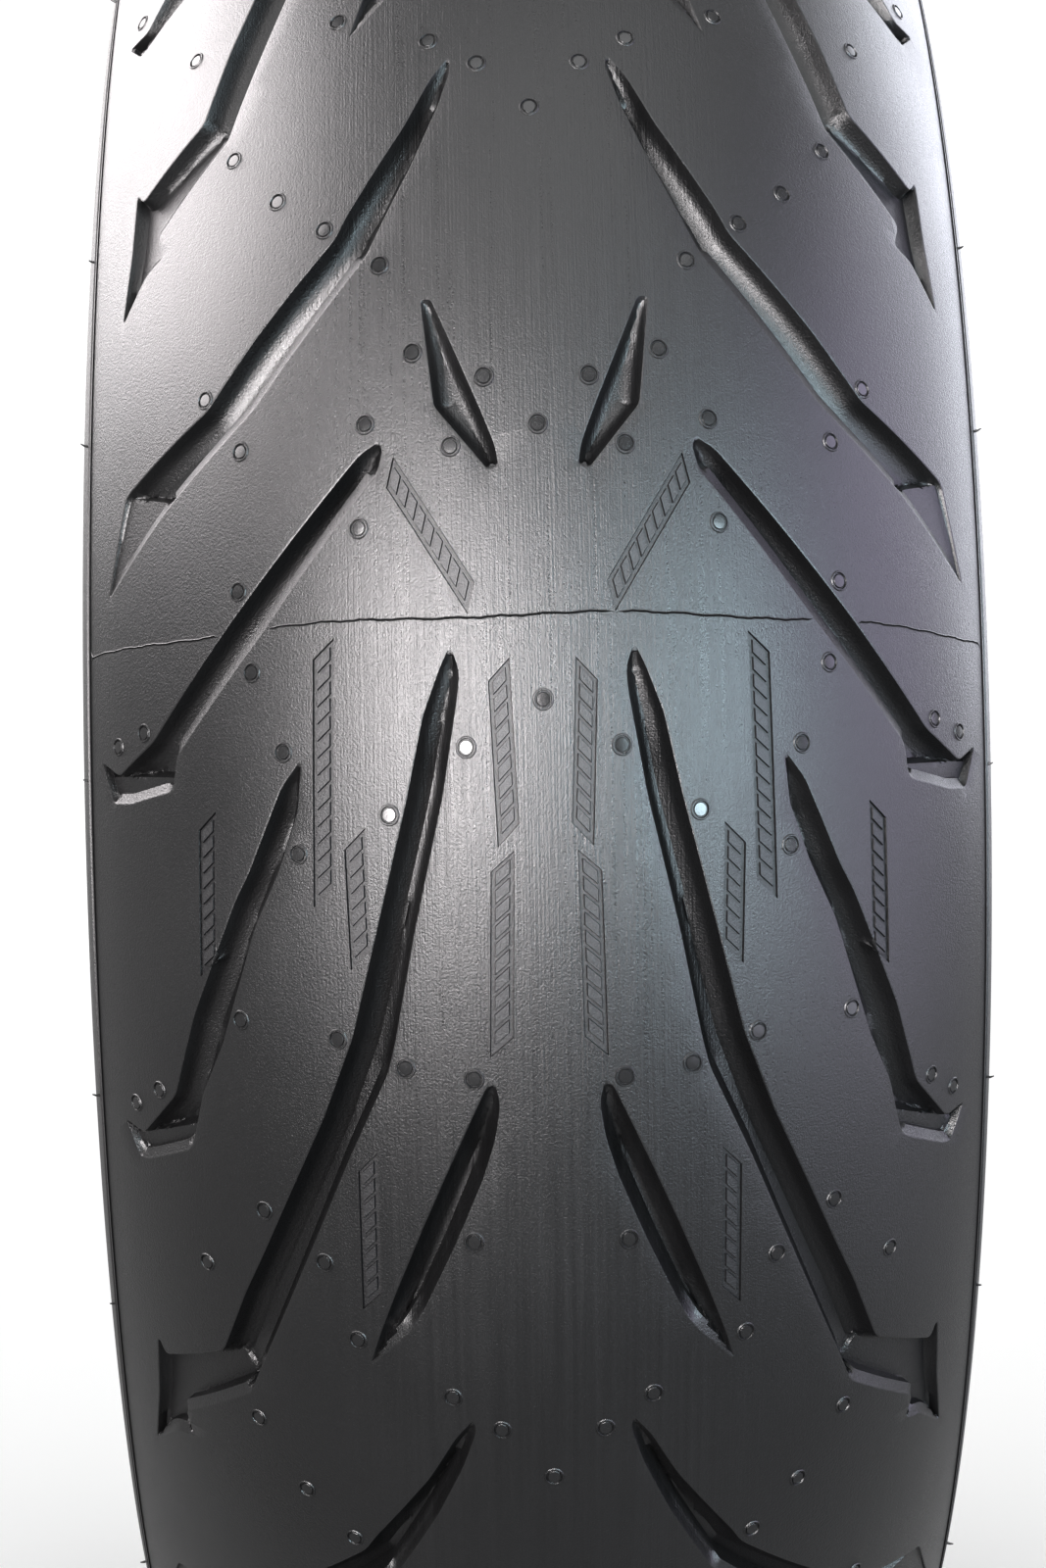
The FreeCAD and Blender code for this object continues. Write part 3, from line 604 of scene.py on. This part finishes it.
def carried_rises(layout, made, sources, crossings):
    """The rise of each made point: its source's, or where links cross, what they have there on average."""
    rises = np.array([min((layout.rises[k] for k in s), default=0.0) for s in sources])
    for point, links in crossings.items():
        shares = []
        for link in links:
            first, last = layout.links[link]
            start, end = np.array(layout.points[first]), np.array(layout.points[last])
            share = np.hypot(*(made[point] - start)) / np.hypot(*(end - start))
            shares.append(layout.rises[first] * (1 - share) + layout.rises[last] * share)
        if shares:
            rises[point] = sum(shares) / len(shares)
    return rises


def tread_pitch_mesh():
    """One pitch of the tread's face: points, their rises, triangles, its outline, and each triangle's look."""
    layout = Layout()
    outline = pitch_outline()
    layout.add(outline, 0.0, closed=True, longest=9.0)
    grooves = [add_groove(layout, g, side) for g in GROOVES.values() for side in (-1, 1)]
    strips = [add_strip(layout, strip, side) for strip in STRIPS for side in (-1, 1)]
    for side in (-1, 1):
        for place in VENTS:
            add_vent(layout, place, side, grooves + strips)
    for place in CENTRE_VENTS:
        add_vent(layout, place, 1, grooves)
    add_parting(layout, grooves + strips)
    grid = hex_grid(outline.min(0), outline.max(0), LAND_STEP)
    grid = grid[inside(grid, outline)]
    grid = grid[nearest(grid, np.array(layout.points)) > LAND_STEP * 0.55]
    for groove in grooves:
        grid = grid[~inside(grid, groove)]
    layout.add(grid, 0.0)
    points, faces, sources, crossings = triangles_inside(layout.points, layout.links, outline)
    rises = carried_rises(layout, points, sources, crossings)
    looks = np.array([max((layout.looks[k] for k in s), default=LAND) for s in sources])[faces]
    looks = np.where((looks == looks[:, :1]).all(1), looks[:, 0], LAND)
    return points, rises, faces, outline, looks


def new_object(name, verts, faces, materials):
    """A mesh object in the scene, from vertices in metres."""
    mesh = bpy.data.meshes.new(name)
    mesh.from_pydata([tuple(v) for v in verts], [], [tuple(int(i) for i in f) for f in faces])
    for material in materials:
        mesh.materials.append(material)
    obj = bpy.data.objects.new(name, mesh)
    bpy.context.scene.collection.objects.link(obj)
    return obj


def faces_way(points, face, way):
    """Whether a triangle of the points faces the given way."""
    a, b, c = (points[k] for k in face)
    return np.dot(np.cross(b - a, c - a), way) > 0


def underside(outline):
    """The cap's inner face under one pitch: points in metres, triangles, and each outline point's place."""
    grid = hex_grid(outline.min(0), outline.max(0), UNDER_STEP)
    grid = grid[inside(grid, outline)]
    grid = grid[nearest(grid, outline) > UNDER_STEP / 2]
    count = len(outline)
    loop = [(k, (k + 1) % count) for k in range(count)]
    plane, faces, sources, _ = triangles_inside([tuple(p) for p in (*outline, *grid)], loop, outline)
    rim = {k: made for made, source in enumerate(sources) for k in source if k < count}
    under = wrap(plane * [CAP_INNER_EDGE / TREAD_EDGE, 1.0], np.full(len(plane), -CAP_THICKNESS))
    if faces_way(under, faces[0], tread_normals(plane)[faces[0, 0]]):
        faces = faces[:, ::-1]
    return under, faces, rim


def tread_cap_pieces(materials):
    """The tread cap: one closed piece for each pitch, all of the same shape, turned round the axle."""
    points, rises, faces, outline, looks = tread_pitch_mesh()
    top = wrap(points, rises)
    normals = tread_normals(points)
    if not faces_way(top, faces[0], normals[faces[0, 0]]):
        faces = faces[:, ::-1]
    under, under_faces, under_rim = underside(outline)
    rim = [int(np.argmin(np.hypot(*(points - p).T))) for p in outline]
    offset = len(top)
    walls = []
    for k in range(len(outline)):
        n = (k + 1) % len(outline)
        quad = (rim[k], rim[n], under_rim[n] + offset, under_rim[k] + offset)
        walls.append(quad if area(outline) < 0 else quad[::-1])
    verts = np.concatenate([top, under])
    all_faces = [*map(tuple, faces), *map(tuple, under_faces + offset), *walls]
    all_looks = np.full(len(all_faces), LAND, np.int32)
    all_looks[: len(faces)] = looks
    pieces = []
    for pitch in range(PITCHES):
        spin = np.array(Matrix.Rotation(-math.radians(PITCH_TURN * pitch), 3, "Y"))
        piece = new_object("tread_pitch_%d" % (pitch + 1), verts @ spin.T, all_faces, materials)
        piece.data.polygons.foreach_set("material_index", all_looks)
        shade_tread(piece, faces, rises, normals @ spin.T)
        pieces.append(piece)
    return pieces


def shade_tread(obj, top_faces, rises, normals):
    """Smooth shading with crisp groove edges, and the crown's own normals on the land."""
    smooth(obj, TREAD_CREASE)
    mesh = obj.data
    mesh.update()
    corner = np.zeros(len(mesh.loops) * 3)
    mesh.corner_normals.foreach_get("vector", corner)
    corner = corner.reshape(-1, 3)
    land = np.abs(rises) < 1e-6
    flat_faces = land[top_faces].all(1)
    loops = np.arange(len(top_faces) * 3).reshape(-1, 3)[flat_faces].ravel()
    corner[loops] = normals[top_faces[flat_faces].ravel()]
    mesh.normals_split_custom_set([tuple(n) for n in corner])


class Graph:
    """A material's nodes, with short ways to add to them."""

    def __init__(self, name, metallic=0.0):
        self.material = bpy.data.materials.new(name)
        self.material.use_nodes = True
        self.tree = self.material.node_tree
        self.shader = self.tree.nodes["Principled BSDF"]
        self.shader.inputs["Metallic"].default_value = metallic
        self.shader.inputs["Specular IOR Level"].default_value = SHEEN
        self.place = self.add("TexCoord").outputs["Object"]
        self.split = self.add("SeparateXYZ", {0: self.place})

    def add(self, kind, sockets=None, **settings):
        made = self.tree.nodes.new("ShaderNode" + kind)
        for name, value in settings.items():
            setattr(made, name, value)
        for socket, value in (sockets or {}).items():
            if isinstance(value, bpy.types.NodeSocket):
                self.tree.links.new(value, made.inputs[socket])
            else:
                made.inputs[socket].default_value = value
        return made

    def maths(self, operation, *values):
        return self.add("Math", dict(enumerate(values)), operation=operation).outputs[0]

    def remap(self, value, low, high, first, last):
        ends = {"Value": value, "From Min": low, "From Max": high, "To Min": first, "To Max": last}
        return self.add("MapRange", ends).outputs[0]

    def noise(self, vector, scale, detail=3.0, roughness=0.5):
        return self.add("TexNoise", {"Vector": vector, "Scale": scale, "Detail": detail,
                                     "Roughness": roughness}).outputs["Fac"]

    def round_tyre(self, along, across):
        """A vector that changes slowly round the tyre and fast across it, for long fine lines."""
        spoke = self.add("CombineXYZ", {"X": self.split.outputs["X"], "Z": self.split.outputs["Z"]})
        unit = self.add("VectorMath", {0: spoke.outputs[0]}, operation="NORMALIZE")
        long_way = self.add("VectorMath", {0: unit.outputs[0], "Scale": along}, operation="SCALE")
        fine_way = self.add("CombineXYZ", {"Y": self.maths("MULTIPLY", self.split.outputs["Y"], across)})
        both = self.add("VectorMath", {0: long_way.outputs[0], 1: fine_way.outputs[0]}, operation="ADD")
        return both.outputs[0]

    def turn(self):
        """The angle round the tyre, in radians."""
        return self.maths("ARCTAN2", self.split.outputs["Z"], self.split.outputs["X"])

    def paint(self, amount, dark, light):
        """The colour, from dark to light by an amount from about 0.3 to 0.75."""
        ramp = self.add("ValToRGB", {"Fac": amount})
        for element, position, colour in zip(ramp.color_ramp.elements, (0.3, 0.75), (dark, light)):
            element.position = position
            element.color = (*colour, 1)
        self.tree.links.new(ramp.outputs["Color"], self.shader.inputs["Base Color"])

    def rough(self, amount):
        """The roughness, kept within its range."""
        limited = self.add("Clamp", {"Value": amount, "Min": 0.05, "Max": 1.0})
        self.tree.links.new(limited.outputs[0], self.shader.inputs["Roughness"])

    def bumps(self, *layers):
        """Each layer is a height, a strength and a distance in metres. They lie on each other."""
        below = {}
        for height, strength, distance in layers:
            made = self.add("Bump", {"Height": height, "Strength": strength, "Distance": distance, **below})
            below = {"Normal": made.outputs[0]}
        self.tree.links.new(made.outputs[0], self.shader.inputs["Normal"])


def shaded(colour, share):
    """A colour, darker or lighter by the given share."""
    return [channel * share for channel in colour]


def rubber_material(name):
    """Moulded rubber: fine speckle, machined lines round the tyre that fade to the sides, and uneven gloss."""
    colour, roughness, grain, line_strength = RUBBERS[name]
    graph = Graph(name)
    lines = graph.noise(graph.round_tyre(14.0, 2600.0), 1.0)
    streaks = graph.noise(graph.round_tyre(5.0, 900.0), 1.0)
    speckle = graph.noise(graph.place, 2200.0, roughness=0.7)
    cloud = graph.noise(graph.place, 14.0, detail=4.0)
    off_middle = graph.maths("ABSOLUTE", graph.split.outputs["Y"])
    middle = graph.remap(off_middle, *LINES_FADE, 1.0, LINES_LEFT)
    line_height = graph.maths("MULTIPLY", lines, middle)
    streak_gloss = graph.maths("MULTIPLY", graph.maths("SUBTRACT", streaks, 0.5), middle)
    gloss = graph.remap(cloud, 0.3, 0.7, roughness - 0.05, roughness + 0.05)
    gloss = graph.maths("MULTIPLY_ADD", graph.maths("SUBTRACT", speckle, 0.5), 0.2, gloss)
    gloss = graph.maths("MULTIPLY_ADD", streak_gloss, 0.5 * line_strength, gloss)
    graph.rough(gloss)
    mixed = graph.maths("MULTIPLY_ADD", graph.maths("ADD", cloud, speckle), 0.5, 0.0)
    graph.paint(mixed, shaded(colour, 0.75), shaded(colour, 1.35))
    graph.bumps((line_height, line_strength, 0.0002), (speckle, grain, 0.00013))
    return graph.material


def liner_material(name, colour):
    """The inside's smooth rubber, with the fine slanting lines that the curing bladder leaves."""
    graph = Graph(name)
    slant = graph.maths("MULTIPLY_ADD", graph.split.outputs["Y"], 9.0, graph.turn())
    waves = graph.maths("SINE", graph.maths("MULTIPLY", slant, 150.0))
    lines = graph.maths("POWER", graph.maths("ABSOLUTE", waves), 8.0)
    speckle = graph.noise(graph.place, 1500.0)
    cloud = graph.noise(graph.place, 30.0, detail=4.0)
    graph.rough(graph.remap(cloud, 0.3, 0.7, 0.42, 0.6))
    graph.paint(cloud, shaded(colour, 0.8), shaded(colour, 1.4))
    graph.bumps((lines, 0.5, 0.0004), (speckle, 0.4, 0.0001))
    return graph.material


def ply_material(name, colour):
    """Cord fabric coated in rubber: the cords show as fine ridges from bead to bead."""
    graph = Graph(name)
    cords = graph.maths("ABSOLUTE", graph.maths("SINE", graph.maths("MULTIPLY", graph.turn(), 470.0)))
    speckle = graph.noise(graph.place, 1800.0)
    graph.rough(graph.remap(speckle, 0.3, 0.7, 0.5, 0.7))
    graph.paint(cords, shaded(colour, 0.7), shaded(colour, 1.5))
    graph.bumps((cords, 0.7, 0.0003), (speckle, 0.3, 0.0001))
    return graph.material


def cord_material(name, colour):
    """Brass-plated steel cord, with the lay of its strands."""
    graph = Graph(name, metallic=1.0)
    round_way = graph.maths("MULTIPLY", graph.turn(), 700.0)
    lay = graph.maths("MULTIPLY_ADD", graph.split.outputs["Y"], 900.0, round_way)
    strands = graph.maths("ABSOLUTE", graph.maths("SINE", lay))
    cloud = graph.noise(graph.place, 90.0, detail=4.0)
    graph.rough(graph.remap(cloud, 0.3, 0.7, 0.28, 0.42))
    graph.paint(cloud, shaded(colour, 0.75), shaded(colour, 1.15))
    graph.bumps((strands, 0.6, 0.0002))
    return graph.material


def finish_cad_nodes():
    """A procedural material for every node, by the material it comes with: inner rubber where none is named."""
    inner = rubber_material("inner_rubber_look")
    bead = rubber_material("bead_rubber_look")
    looks = {
        "sidewall_rubber": bead,
        "bead_rubber": bead,
        "liner_rubber": liner_material("liner_rubber_look", LINER_COLOUR),
        "ply_fabric": ply_material("ply_fabric_look", PLY_COLOUR),
        "steel_cord": cord_material("steel_cord_look", STEEL_COLOUR),
    }
    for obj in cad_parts.values():
        slots = obj.data.materials
        for index in range(len(slots)):
            slots[index] = looks.get(slots[index].name.split(".")[0], inner)


def arc_points(start, end, radius, count):
    """Points of the arc from start to end that bulges away from the tyre's middle, without its start."""
    start, end = np.array(start, float), np.array(end, float)
    chord = end - start
    half = np.hypot(*chord) / 2
    normal = np.array([chord[1], -chord[0]]) / (2 * half)
    centre = (start + end) / 2 + normal * math.sqrt(radius**2 - half**2)
    first = math.atan2(*(start - centre)[::-1])
    sweep = (math.atan2(*(end - centre)[::-1]) - first + math.pi) % (2 * math.pi) - math.pi
    angles = first + sweep * np.arange(1, count + 1) / count
    return centre + radius * np.stack([np.cos(angles), np.sin(angles)], 1)


def wall_skin():
    """The sidewall's face in section, as (across, height), from the tread's edge down to the rim strip."""
    edge_lean = TREAD_EDGE / CROWN_RADIUS
    edge = (CROWN_RADIUS * math.sin(edge_lean), CROWN_CENTRE + CROWN_RADIUS * math.cos(edge_lean))
    upper = arc_points(edge, WIDEST, UPPER_WALL_RADIUS, ARC_STEPS)
    lower = arc_points(WIDEST, LOWER_WALL, LOWER_WALL_RADIUS, ARC_STEPS)
    return np.concatenate([[edge], upper, lower, [STRIP_TOP]])


def along_skin(skin, lengths):
    """Places and outward normals at the given lengths along the sidewall's face, and the whole length."""
    steps = np.hypot(*np.diff(skin, axis=0).T)
    total = np.concatenate([[0], np.cumsum(steps)])
    places = np.stack([np.interp(lengths, total, skin[:, k]) for k in range(2)], 1)
    ahead = np.stack([np.interp(np.add(lengths, 0.4), total, skin[:, k]) for k in range(2)], 1)
    behind = np.stack([np.interp(np.subtract(lengths, 0.4), total, skin[:, k]) for k in range(2)], 1)
    way = ahead - behind
    way /= np.hypot(way[:, 0], way[:, 1])[:, None]
    return places, np.stack([-way[:, 1], way[:, 0]], 1), total[-1]


def spin_points(section, turns, side):
    """Section points (across, height) turned round the axle: one row for each angle, in metres."""
    across, height = section[..., 0], section[..., 1]
    return np.stack([height * np.cos(turns), side * across, height * np.sin(turns)], -1) * MM


def wall_turns():
    """The angles of the sidewall's columns, and which of them stand in a sunk bar."""
    period = 2 * math.pi / WALL_BARS
    turns, sunk = [], []
    for bar in range(WALL_BARS):
        for share, low in BAR_SHAPE:
            turns.append((bar + share) * period)
            gaps = [abs(math.sin((turns[-1] - math.radians(arrow)) / 2)) for arrow in ARROW_TURNS]
            near_arrow = min(gaps) < ARROW_CLEAR
            sunk.append(low and not near_arrow)
    return np.array(turns), np.array(sunk)


def wall_profile(skin):
    """Lengths down the sidewall's face, the rise at each, and what a sunk bar adds to it."""
    band_ends = [BAR_BAND[0], BAR_BAND[0] + BAR_BEVEL, BAR_BAND[1] - BAR_BEVEL, BAR_BAND[1]]
    edges = [0.0, *SUNK_LINE, 2.2, *band_ends]
    ridges = [[centre + shift for shift in RIDGE_SHAPE] for centre in RIM_RIDGES]
    total = along_skin(skin, [0.0])[2]
    above = np.arange(3.2, BAR_BAND[0] - 0.6, WALL_STEP)
    below = np.arange(BAR_BAND[1] + 1.0, total, WALL_STEP)
    fill = np.concatenate([above, below])
    fill = fill[nearest(fill[:, None], np.ravel(ridges)[:, None]) > 0.6]
    lengths = np.unique(np.concatenate([edges, np.ravel(ridges), fill, np.linspace(*BAR_BAND, 7), [total]]))
    rise = -LINE_DEPTH * np.interp(lengths, SUNK_LINE, [0, 1, 1, 0])
    for ridge in ridges:
        rise += RIDGE_HEIGHT * np.interp(lengths, ridge, [0, 1, 1, 0])
    return lengths, rise, -BAR_DEPTH * np.interp(lengths, band_ends, [0, 1, 1, 0])


def ring_faces(rows, columns, flip):
    """The faces of a closed section swept round to its start: one row of points for each angle."""
    faces = []
    for row in range(rows):
        here, there = row * columns, (row + 1) % rows * columns
        for column in range(columns):
            beside = (column + 1) % columns
            quad = [here + column, here + beside, there + beside, there + column]
            faces.append(quad[::-1] if flip else quad)
    return faces


def sidewall(side, name, material):
    """One sidewall: a closed ring with a sunk line at the tread's edge, a band of fine bars, and rim ridges."""
    skin = wall_skin()
    lengths, rise, bar = wall_profile(skin)
    places, normals, _ = along_skin(skin, lengths)
    turns, sunk = wall_turns()
    rises = rise[None, :] + bar[None, :] * sunk[:, None]
    front = places[None] + normals[None] * rises[..., None]
    back = np.broadcast_to(np.array(WALL_BACK), (len(turns), len(WALL_BACK), 2))
    verts = spin_points(np.concatenate([front, back], 1), turns[:, None], side)
    faces = ring_faces(*verts.shape[:2], flip=side < 0)
    piece = new_object(name, verts.reshape(-1, 3), faces, [material])
    smooth(piece, WALL_CREASE)
    return piece


def smooth(piece, angle):
    """Smooth shading, with crisp edges where faces meet at more than the angle."""
    mesh = piece.data
    mesh.polygons.foreach_set("use_smooth", [True] * len(mesh.polygons))
    mesh.set_sharp_from_angle(angle=math.radians(angle))


def on_wall(length, along, rise, turn, side):
    """A point on the sidewall: down its face by length, round the tyre by along, lifted by rise. In metres."""
    place, normal, _ = along_skin(wall_skin(), [length])
    spot = place[0] + normal[0] * rise
    return spin_points(spot, turn + along / spot[1], side)


def direction_arrow(name, turn, side, material):
    """A plain raised arrow that shows which way the tyre turns."""
    middle = sum(BAR_BAND) / 2
    outline = spaced(np.array(ARROW_OUTLINE, float), 1.5)
    count = len(outline)
    verts, faces = [], []
    for rise, narrowed, shortened in ARROW_LEVELS:
        for along, down in outline:
            place = middle + down * narrowed
            verts.append(on_wall(place, along * shortened, rise, math.radians(turn), side))
    for level in range(2):
        for k in range(count):
            n = (k + 1) % count
            low, high = level * count, (level + 1) * count
            faces.append([low + k, low + n, high + n, high + k])
    for level, flip in ((0, True), (2, False)):
        points = [Vector(p) for p in outline]
        links = [(k, (k + 1) % count) for k in range(count)]
        made = geometry.delaunay_2d_cdt(points, links, [], 1, 1e-4, True)
        for face in made[2]:
            face = [level * count + made[3][v][0] for v in face]
            faces.append(face[::-1] if flip else face)
    piece = new_object(name, verts, faces if side < 0 else [f[::-1] for f in faces], [material])
    smooth(piece, ARROW_CREASE)
    return piece


def whiskers(name, side, material):
    """Fine rubber hairs that the mould's vents leave along the tread's edge."""
    verts, faces = [], []
    for hair in range(WHISKERS):
        turn = 2 * math.pi * (hair + 0.18 * math.sin(hair * 2.4)) / WHISKERS
        length = 1.0 + 0.5 * abs(math.sin(hair * 1.7))
        first = len(verts)
        for rise, radius in zip((-WHISKER_ROOT, length * 0.5, length), WHISKER_RADII):
            for corner in range(WHISKER_SIDES):
                angle = corner * 2 * math.pi / WHISKER_SIDES
                down = WHISKER_DOWN + radius * math.sin(angle)
                along = radius * math.cos(angle) + 0.2 * rise**2
                verts.append(on_wall(down, along, rise, turn, side))
        starts = [first + level * WHISKER_SIDES for level in range(len(WHISKER_RADII))]
        rings = [range(start, start + WHISKER_SIDES) for start in starts]
        for low, high in zip(rings, rings[1:]):
            for k in range(WHISKER_SIDES):
                n = (k + 1) % WHISKER_SIDES
                faces.append([low[k], low[n], high[n], high[k]])
        faces += [list(rings[0])[::-1], list(rings[-1])]
    piece = new_object(name, verts, faces if side < 0 else [f[::-1] for f in faces], [material])
    smooth(piece, WHISKER_CREASE)
    return piece


def all_but(name, piece):
    """A collection that tells a lamp to light everything but one piece."""
    group = bpy.data.collections.new(name)
    group.objects.link(piece)
    group.collection_objects[0].light_linking.link_state = "EXCLUDE"
    return group


def cast_light(lit, name, azimuth, elevation, distance, size, power, colour):
    """A soft rectangular light that faces the tyre's front. Azimuth 0 is +X, where the camera stands."""
    around, up = math.radians(azimuth), math.radians(elevation)
    way = Vector((math.cos(up) * math.cos(around), math.cos(up) * math.sin(around), math.sin(up)))
    data = bpy.data.lights.new(name, "AREA")
    data.shape = "RECTANGLE"
    data.size, data.size_y = size
    data.energy = power
    data.color = colour
    light = bpy.data.objects.new(name, data)
    light.location = LIGHT_TARGET + way * distance
    light.rotation_euler = (-way).to_track_quat("-Z", "Y").to_euler()
    light.visible_camera = False
    light.light_linking.receiver_collection = lit
    bpy.context.scene.collection.objects.link(light)


def floor_material():
    """Pale matt paper with a faint fibre."""
    graph = Graph("pale_floor")
    fibre = graph.noise(graph.place, 300.0)
    graph.rough(graph.remap(fibre, 0.3, 0.7, 0.85, 0.95))
    graph.shader.inputs["Base Color"].default_value = (0.92, 0.92, 0.92, 1)
    graph.bumps((fibre, 0.1, 0.0005))
    return graph.material


def stage():
    """A round pale floor for the tyre to stand on."""
    floor_z = CAD_BOX[0].z
    turns = np.linspace(0, 2 * math.pi, FLOOR_SIDES, endpoint=False)
    ring = [(FLOOR_RADIUS * math.cos(turn), FLOOR_RADIUS * math.sin(turn), floor_z) for turn in turns]
    floor = new_object("floor", ring, [range(FLOOR_SIDES)], [floor_material()])
    return floor


def world_light():
    """Even white light from all round, which is also the background."""
    world = bpy.data.worlds.new("studio")
    world.use_nodes = True
    background = world.node_tree.nodes["Background"]
    background.inputs["Color"].default_value = (1, 1, 1, 1)
    background.inputs["Strength"].default_value = WORLD_STRENGTH
    bpy.context.scene.world = world


def camera():
    """The photograph's view: square on to the tread, level with the axle, about half a metre from it."""
    data = bpy.data.cameras.new("camera")
    data.sensor_fit = "VERTICAL"
    data.sensor_height = CAMERA_FRAME
    data.lens = CAMERA_LENS
    data.clip_start = 0.01
    obj = bpy.data.objects.new("camera", data)
    yaw, pitch, roll = CAMERA_YAW, CAMERA_PITCH, CAMERA_ROLL
    forward = Vector((-math.cos(yaw) * math.cos(pitch), math.sin(yaw) * math.cos(pitch), math.sin(pitch)))
    level = Vector((math.sin(yaw), math.cos(yaw), 0.0))
    upright = level.cross(forward)
    right = math.cos(roll) * level + math.sin(roll) * upright
    up = math.cos(roll) * upright - math.sin(roll) * level
    turn = Matrix((right, up, -forward)).transposed()
    obj.matrix_world = Matrix.Translation(CAMERA_PLACE) @ turn.to_4x4()
    bpy.context.scene.collection.objects.link(obj)
    bpy.context.scene.camera = obj


def place_piece(piece, slot, *nodes):
    """Hangs a piece on the root body that it rides on, and hides the CAD nodes that it replaces. The slot is not
    used.
    """
    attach(piece, "root")
    if nodes:
        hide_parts(*nodes)


def main():
    finish_cad_nodes()
    tread_looks = [rubber_material(kind + "_look") for kind in ("tread_rubber", "vent_mark", "strip_rubber")]
    wall_look = rubber_material("sidewall_rubber_look")
    for piece in tread_cap_pieces(tread_looks):
        place_piece(piece, "tread_rubber", "tread_cap")
    for side, word in ((-1, "left"), (1, "right")):
        place_piece(sidewall(side, "sidewall_skin_" + word, wall_look), "sidewall_rubber", "sidewall_" + word)
        place_piece(whiskers("whiskers_" + word, side, wall_look), "sidewall_rubber")
        for count, turn in enumerate(ARROW_TURNS):
            arrow = direction_arrow("arrow_%s_%d" % (word, count + 1), turn, side, wall_look)
            place_piece(arrow, "sidewall_rubber")
    floor = stage()
    world_light()
    lit = all_but("lit_by_lamps", floor)
    for light in LIGHTS:
        cast_light(lit, *light)
    camera()
    settings = bpy.context.scene.view_settings
    settings.view_transform = "Standard"
    settings.gamma = VIEW_GAMMA


main()
